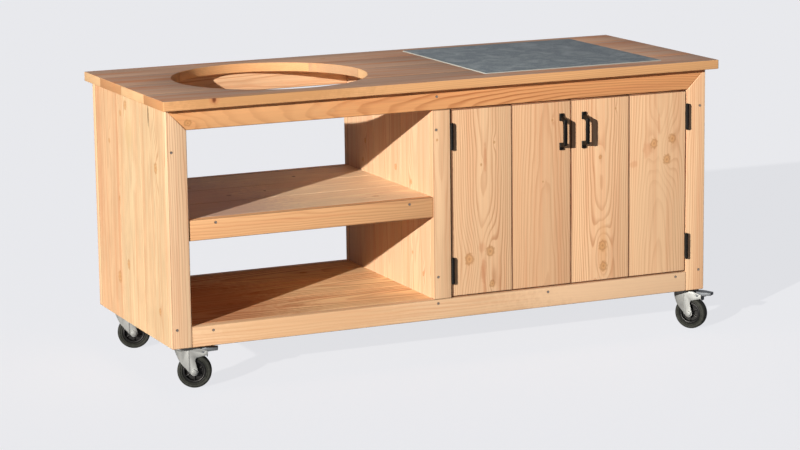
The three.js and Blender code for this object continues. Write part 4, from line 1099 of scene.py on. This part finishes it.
# %% Ribs of the rim
SPOKES = 6
SPOKE_MIDDLE = 19 * MM
SPOKE_SIZE = (16 * MM, 3.0 * MM, 19 * MM)
SPOKE_EDGE = 0.8 * MM
spoke_parts = []
for number in range(SPOKES):
    bpy.ops.mesh.primitive_cube_add(size=1, location=(SPOKE_MIDDLE, 0, 0))
    spoke = started(f"spoke_{number}", plastic)
    spoke.scale = SPOKE_SIZE
    bpy.ops.object.transform_apply(location=True, rotation=False, scale=True)
    rounded(spoke, SPOKE_EDGE)
    settled(spoke, Vector(), Matrix.Rotation(2 * math.pi * number / SPOKES, 4, "Z"))
    spoke_parts.append(spoke)
bpy.ops.object.select_all(action="DESELECT")
for part in (*spoke_parts, rim):
    part.select_set(True)
bpy.context.view_layer.objects.active = rim
bpy.ops.object.join()
smoothed(rim)
print("ribs:", SPOKES)

# %% [markdown]
# The wheel was modelled once, lying at the origin. Its copies are turned to the axle line that the CAD
# joint has, and put in the middle of the CAD wheel, which they stand for.

# %% Wheels on their axles
node_body = {node: body for body, nodes in frame["record"]["behaviour"]["bodies"].items() for node in nodes}
rolling_axis = {joint["child"]: Vector(joint["axis"]) for joint in frame["joints"]}
wheels = [node for node in frame["nodes"] if node.endswith("wheel")]
for node in wheels:
    low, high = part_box(node)
    axle = rolling_axis[node_body[node]].to_track_quat("Z", "X").to_matrix().to_4x4()
    for model, kind in ((tyre, "tyre"), (rim, "rim")):
        piece = settled(copied(model, f"{node}_{kind}"), (low + high) / 2, axle)
        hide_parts(node)
        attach(piece, node_body[node])
for model in (tyre, rim):
    bpy.data.objects.remove(model, do_unlink=True)
print("wheels:", len(wheels))

# %% [markdown]
# The CAD pieces have knife edges, but sawn boards get eased edges and pressed or cast metal has soft ones.
# Eased edges matter to the eye: they draw the thin dark and light lines at which one board meets the next.
# So a copy of each such mesh is cleaned to flat faces, its edges are rounded, and it stands for the CAD
# piece.

# %% Copies with eased edges
ROUNDING = (
    (0.5 * MM, ("fork", "brake_pedal", "caster_plate")),
    (0.8 * MM, ("worktop_left_boards", "worktop_middle_boards", "worktop_right_boards", "stone_slab")),
    (0.9 * MM, ("handle",)),
    (1.0 * MM, ("stile", "rail", "apron")),
    (1.2 * MM, ("hinge_board", "closing_board", "plank")),
)
FLAT_WITHIN = math.radians(1)
SHARP_FROM = math.radians(40)


def eased_copy(node, width):
    piece = copied(frame["nodes"][node], f"{node}_eased")
    piece.hide_render = False
    piece.parent = None
    piece.matrix_world = Matrix.Identity(4)
    only(piece)
    bpy.ops.object.mode_set(mode="EDIT")
    bpy.ops.mesh.select_all(action="SELECT")
    bpy.ops.mesh.remove_doubles(threshold=DOUBLES)
    bpy.ops.mesh.dissolve_limited(angle_limit=FLAT_WITHIN)
    bpy.ops.object.mode_set(mode="OBJECT")
    rounded(piece, width, limit_method="ANGLE", angle_limit=SHARP_FROM)
    smoothed(piece)
    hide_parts(node)
    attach(piece, node_body[node])
    return piece


for node in list(frame["nodes"]):
    for width, endings in ROUNDING:
        if node.endswith(endings):
            eased_copy(node, width)

# %% [markdown]
# The face frame is held by countersunk wood screws. Round each head and in its recess a dark brown is
# painted, the shade of the countersink and the recess. The heads are steel, dulled by oil. Both are
# speckled surfaces like the plastic.

# %% Screw finishes
HOLE_GRAIN = 2 * MM
TARNISH_GRAIN = 1.5 * MM
# A dark brown painted as the shade in each screw's countersink and recess.
painted_countersink_shade = speckled("painted_screw_hole_shade", HOLE_GRAIN, 2.0, "#46291A", "#6A432C", (0.7, 0.9),
                       (0.6, 0.2 * MM), **{"Specular IOR Level": 0.1})
screw_steel = speckled("oil_darkened_screw_steel", TARNISH_GRAIN, 3.0, "#85807B", "#B5AFA8", (0.35, 0.55),
                       (0.4, 0.05 * MM), Metallic=0.3)
print("tarnish grain in mm:", round(TARNISH_GRAIN / MM, 1))

# %% [markdown]
# A screw is modelled once, lying at the origin: a disc whose top is inset three times. From outside in,
# that gives a dark rim, a small step down to the steel and the flat ring of the head. What is left in the
# middle is pushed in: the recess for the driver, drawn round, because its corners are too small to see.
# Rim and recess get the dark colour, which is painted shade.

# %% One wood screw
HEAD_RADIUS = 4.0 * MM
HEAD_THICKNESS = 1.6 * MM
HEAD_CORNERS = 24
RIM_WIDTH = 0.6 * MM
STEP_WIDTH = 0.3 * MM
STEP_DEPTH = 0.2 * MM
RING_WIDTH = 2.0 * MM
RECESS_DEPTH = 0.3 * MM
STEEL_OUTSIDE = 0.88 * HEAD_RADIUS
STEEL_INSIDE = 1.5 * MM
FACES_UP = 0.9
bpy.ops.mesh.primitive_cylinder_add(vertices=HEAD_CORNERS, radius=HEAD_RADIUS, depth=HEAD_THICKNESS,
                                    location=(0, 0, 0))
screw = started("screw_model", screw_steel)
screw.data.materials.append(painted_countersink_shade)
bpy.ops.object.mode_set(mode="EDIT")
bpy.ops.mesh.select_mode(type="FACE")
bpy.ops.mesh.select_all(action="DESELECT")
bpy.ops.object.mode_set(mode="OBJECT")
for face in screw.data.polygons:
    face.select = face.normal.z > FACES_UP
bpy.ops.object.mode_set(mode="EDIT")
for width, depth in ((RIM_WIDTH, 0), (STEP_WIDTH, -STEP_DEPTH), (RING_WIDTH, 0)):
    bpy.ops.mesh.inset(thickness=width, depth=depth)
bpy.ops.mesh.extrude_region_move(TRANSFORM_OT_translate={"value": (0, 0, -RECESS_DEPTH)})
bpy.ops.mesh.select_all(action="SELECT")
bpy.ops.mesh.normals_make_consistent(inside=False)
bpy.ops.object.mode_set(mode="OBJECT")
# Rim and recess take the second material, a painted shade.
corners = screw.data.vertices
for face in screw.data.polygons:
    from_axis = max(math.hypot(corners[corner].co.x, corners[corner].co.y) for corner in face.vertices)
    face.material_index = int(from_axis > STEEL_OUTSIDE or from_axis < STEEL_INSIDE)
smoothed(screw)
print("faces of a screw:", len(screw.data.polygons))

# %% [markdown]
# Copies go to every place at which the photograph shows a screw, given as x and z, and to the matching
# places on the rear frame. They are sunk a tenth of a millimetre, so that none stands proud.

# %% Screws in the frame
SCREW_PLACES = [
    (-0.8713, 0.7007), (-0.8690, 0.1862), (-0.7594, 0.1757), (-0.0457, 0.1786), (0.3221, 0.1763),
    (0.7664, 0.1786), (-0.0440, 0.8010), (-0.0468, 0.7022), (-0.0447, 0.2589), (0.8486, 0.7094),
    (0.8479, 0.1935),
]
APRON_SCREW_PLACES = [(-0.7424, 0.4886), (-0.1341, 0.4863)]
SUNK = 0.1 * MM
frame_faces = (door_corner.y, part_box("rear_left_stile")[1].y)
apron_faces = (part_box("front_shelf_apron")[0].y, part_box("rear_shelf_apron")[1].y)
turns = (Matrix.Rotation(math.pi / 2, 4, "X"), Matrix.Rotation(-math.pi / 2, 4, "X"))
count = 0
for places, faces in ((SCREW_PLACES, frame_faces), (APRON_SCREW_PLACES, apron_faces)):
    for x, z in places:
        for face, turn, inwards in zip(faces, turns, (SUNK, -SUNK)):
            count += 1
            piece = settled(copied(screw, f"frame_screw_{count:02d}"), Vector((x, face + inwards, z)), turn)
            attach(piece, "cabinet")
bpy.data.objects.remove(screw, do_unlink=True)
print("frame screws:", count)

# %% [markdown]
# Four hexagon bolts with washers hold each caster plate. They are seen only from below, and they are of
# the same darker steel as the pedals. A bolt head is a cylinder with six corners, its washer one with many,
# and the two are rounded and joined.

# %% One caster bolt
BOLT_RADIUS = 6.4 * MM
BOLT_HEIGHT = 3.4 * MM
BOLT_EDGE = 0.5 * MM
WASHER_RADIUS = 8 * MM
WASHER_THICKNESS = 1.0 * MM
WASHER_EDGE = 0.2 * MM
WASHER_CORNERS = 32
WASHER_PLACE = (0, 0, (BOLT_HEIGHT + WASHER_THICKNESS) / 2)
bolt_top = BOLT_HEIGHT / 2 + WASHER_THICKNESS
bpy.ops.mesh.primitive_cylinder_add(vertices=6, radius=BOLT_RADIUS, depth=BOLT_HEIGHT, location=(0, 0, 0))
bolt_steel = bpy.data.materials["zinc_plated_pedal_steel"]
bolt = started("bolt_model", bolt_steel)
rounded(bolt, BOLT_EDGE)
bpy.ops.mesh.primitive_cylinder_add(vertices=WASHER_CORNERS, radius=WASHER_RADIUS, depth=WASHER_THICKNESS,
                                    location=WASHER_PLACE)
rounded(started("washer_model", bolt_steel), WASHER_EDGE, segments=1)
bolt.select_set(True)
bpy.context.view_layer.objects.active = bolt
bpy.ops.object.join()
smoothed(bolt)
bpy.ops.object.transform_apply(location=True, rotation=True, scale=True)
print("faces of a bolt:", len(bolt.data.polygons))

# %% [markdown]
# The bolts go through the plate's four slots, with the washer against the plate's lower face. Each is
# turned a little differently, as a fitter leaves them.

# %% Bolts in the caster plates
SLOT_ASIDE = 30 * MM
SLOT_AHEAD = 22 * MM
PLATE_THICKNESS = 2.5 * MM
plates = [node for node in frame["nodes"] if node.endswith("caster_plate")]
for node in plates:
    low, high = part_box(node)
    centre = (low + high) / 2
    level = high.z - PLATE_THICKNESS - bolt_top
    for number, (side, end) in enumerate([(-1, -1), (-1, 1), (1, -1), (1, 1)]):
        piece = copied(bolt, f"{node}_bolt_{number}")
        place = Vector((centre.x + side * SLOT_ASIDE, centre.y + end * SLOT_AHEAD, level))
        settled(piece, place, Matrix.Rotation(number, 4, "Z"))
        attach(piece, "cabinet")
bpy.data.objects.remove(bolt, do_unlink=True)
print("caster plates with bolts:", len(plates))

# %% [markdown]

# %% Finish
print("dressing finished")
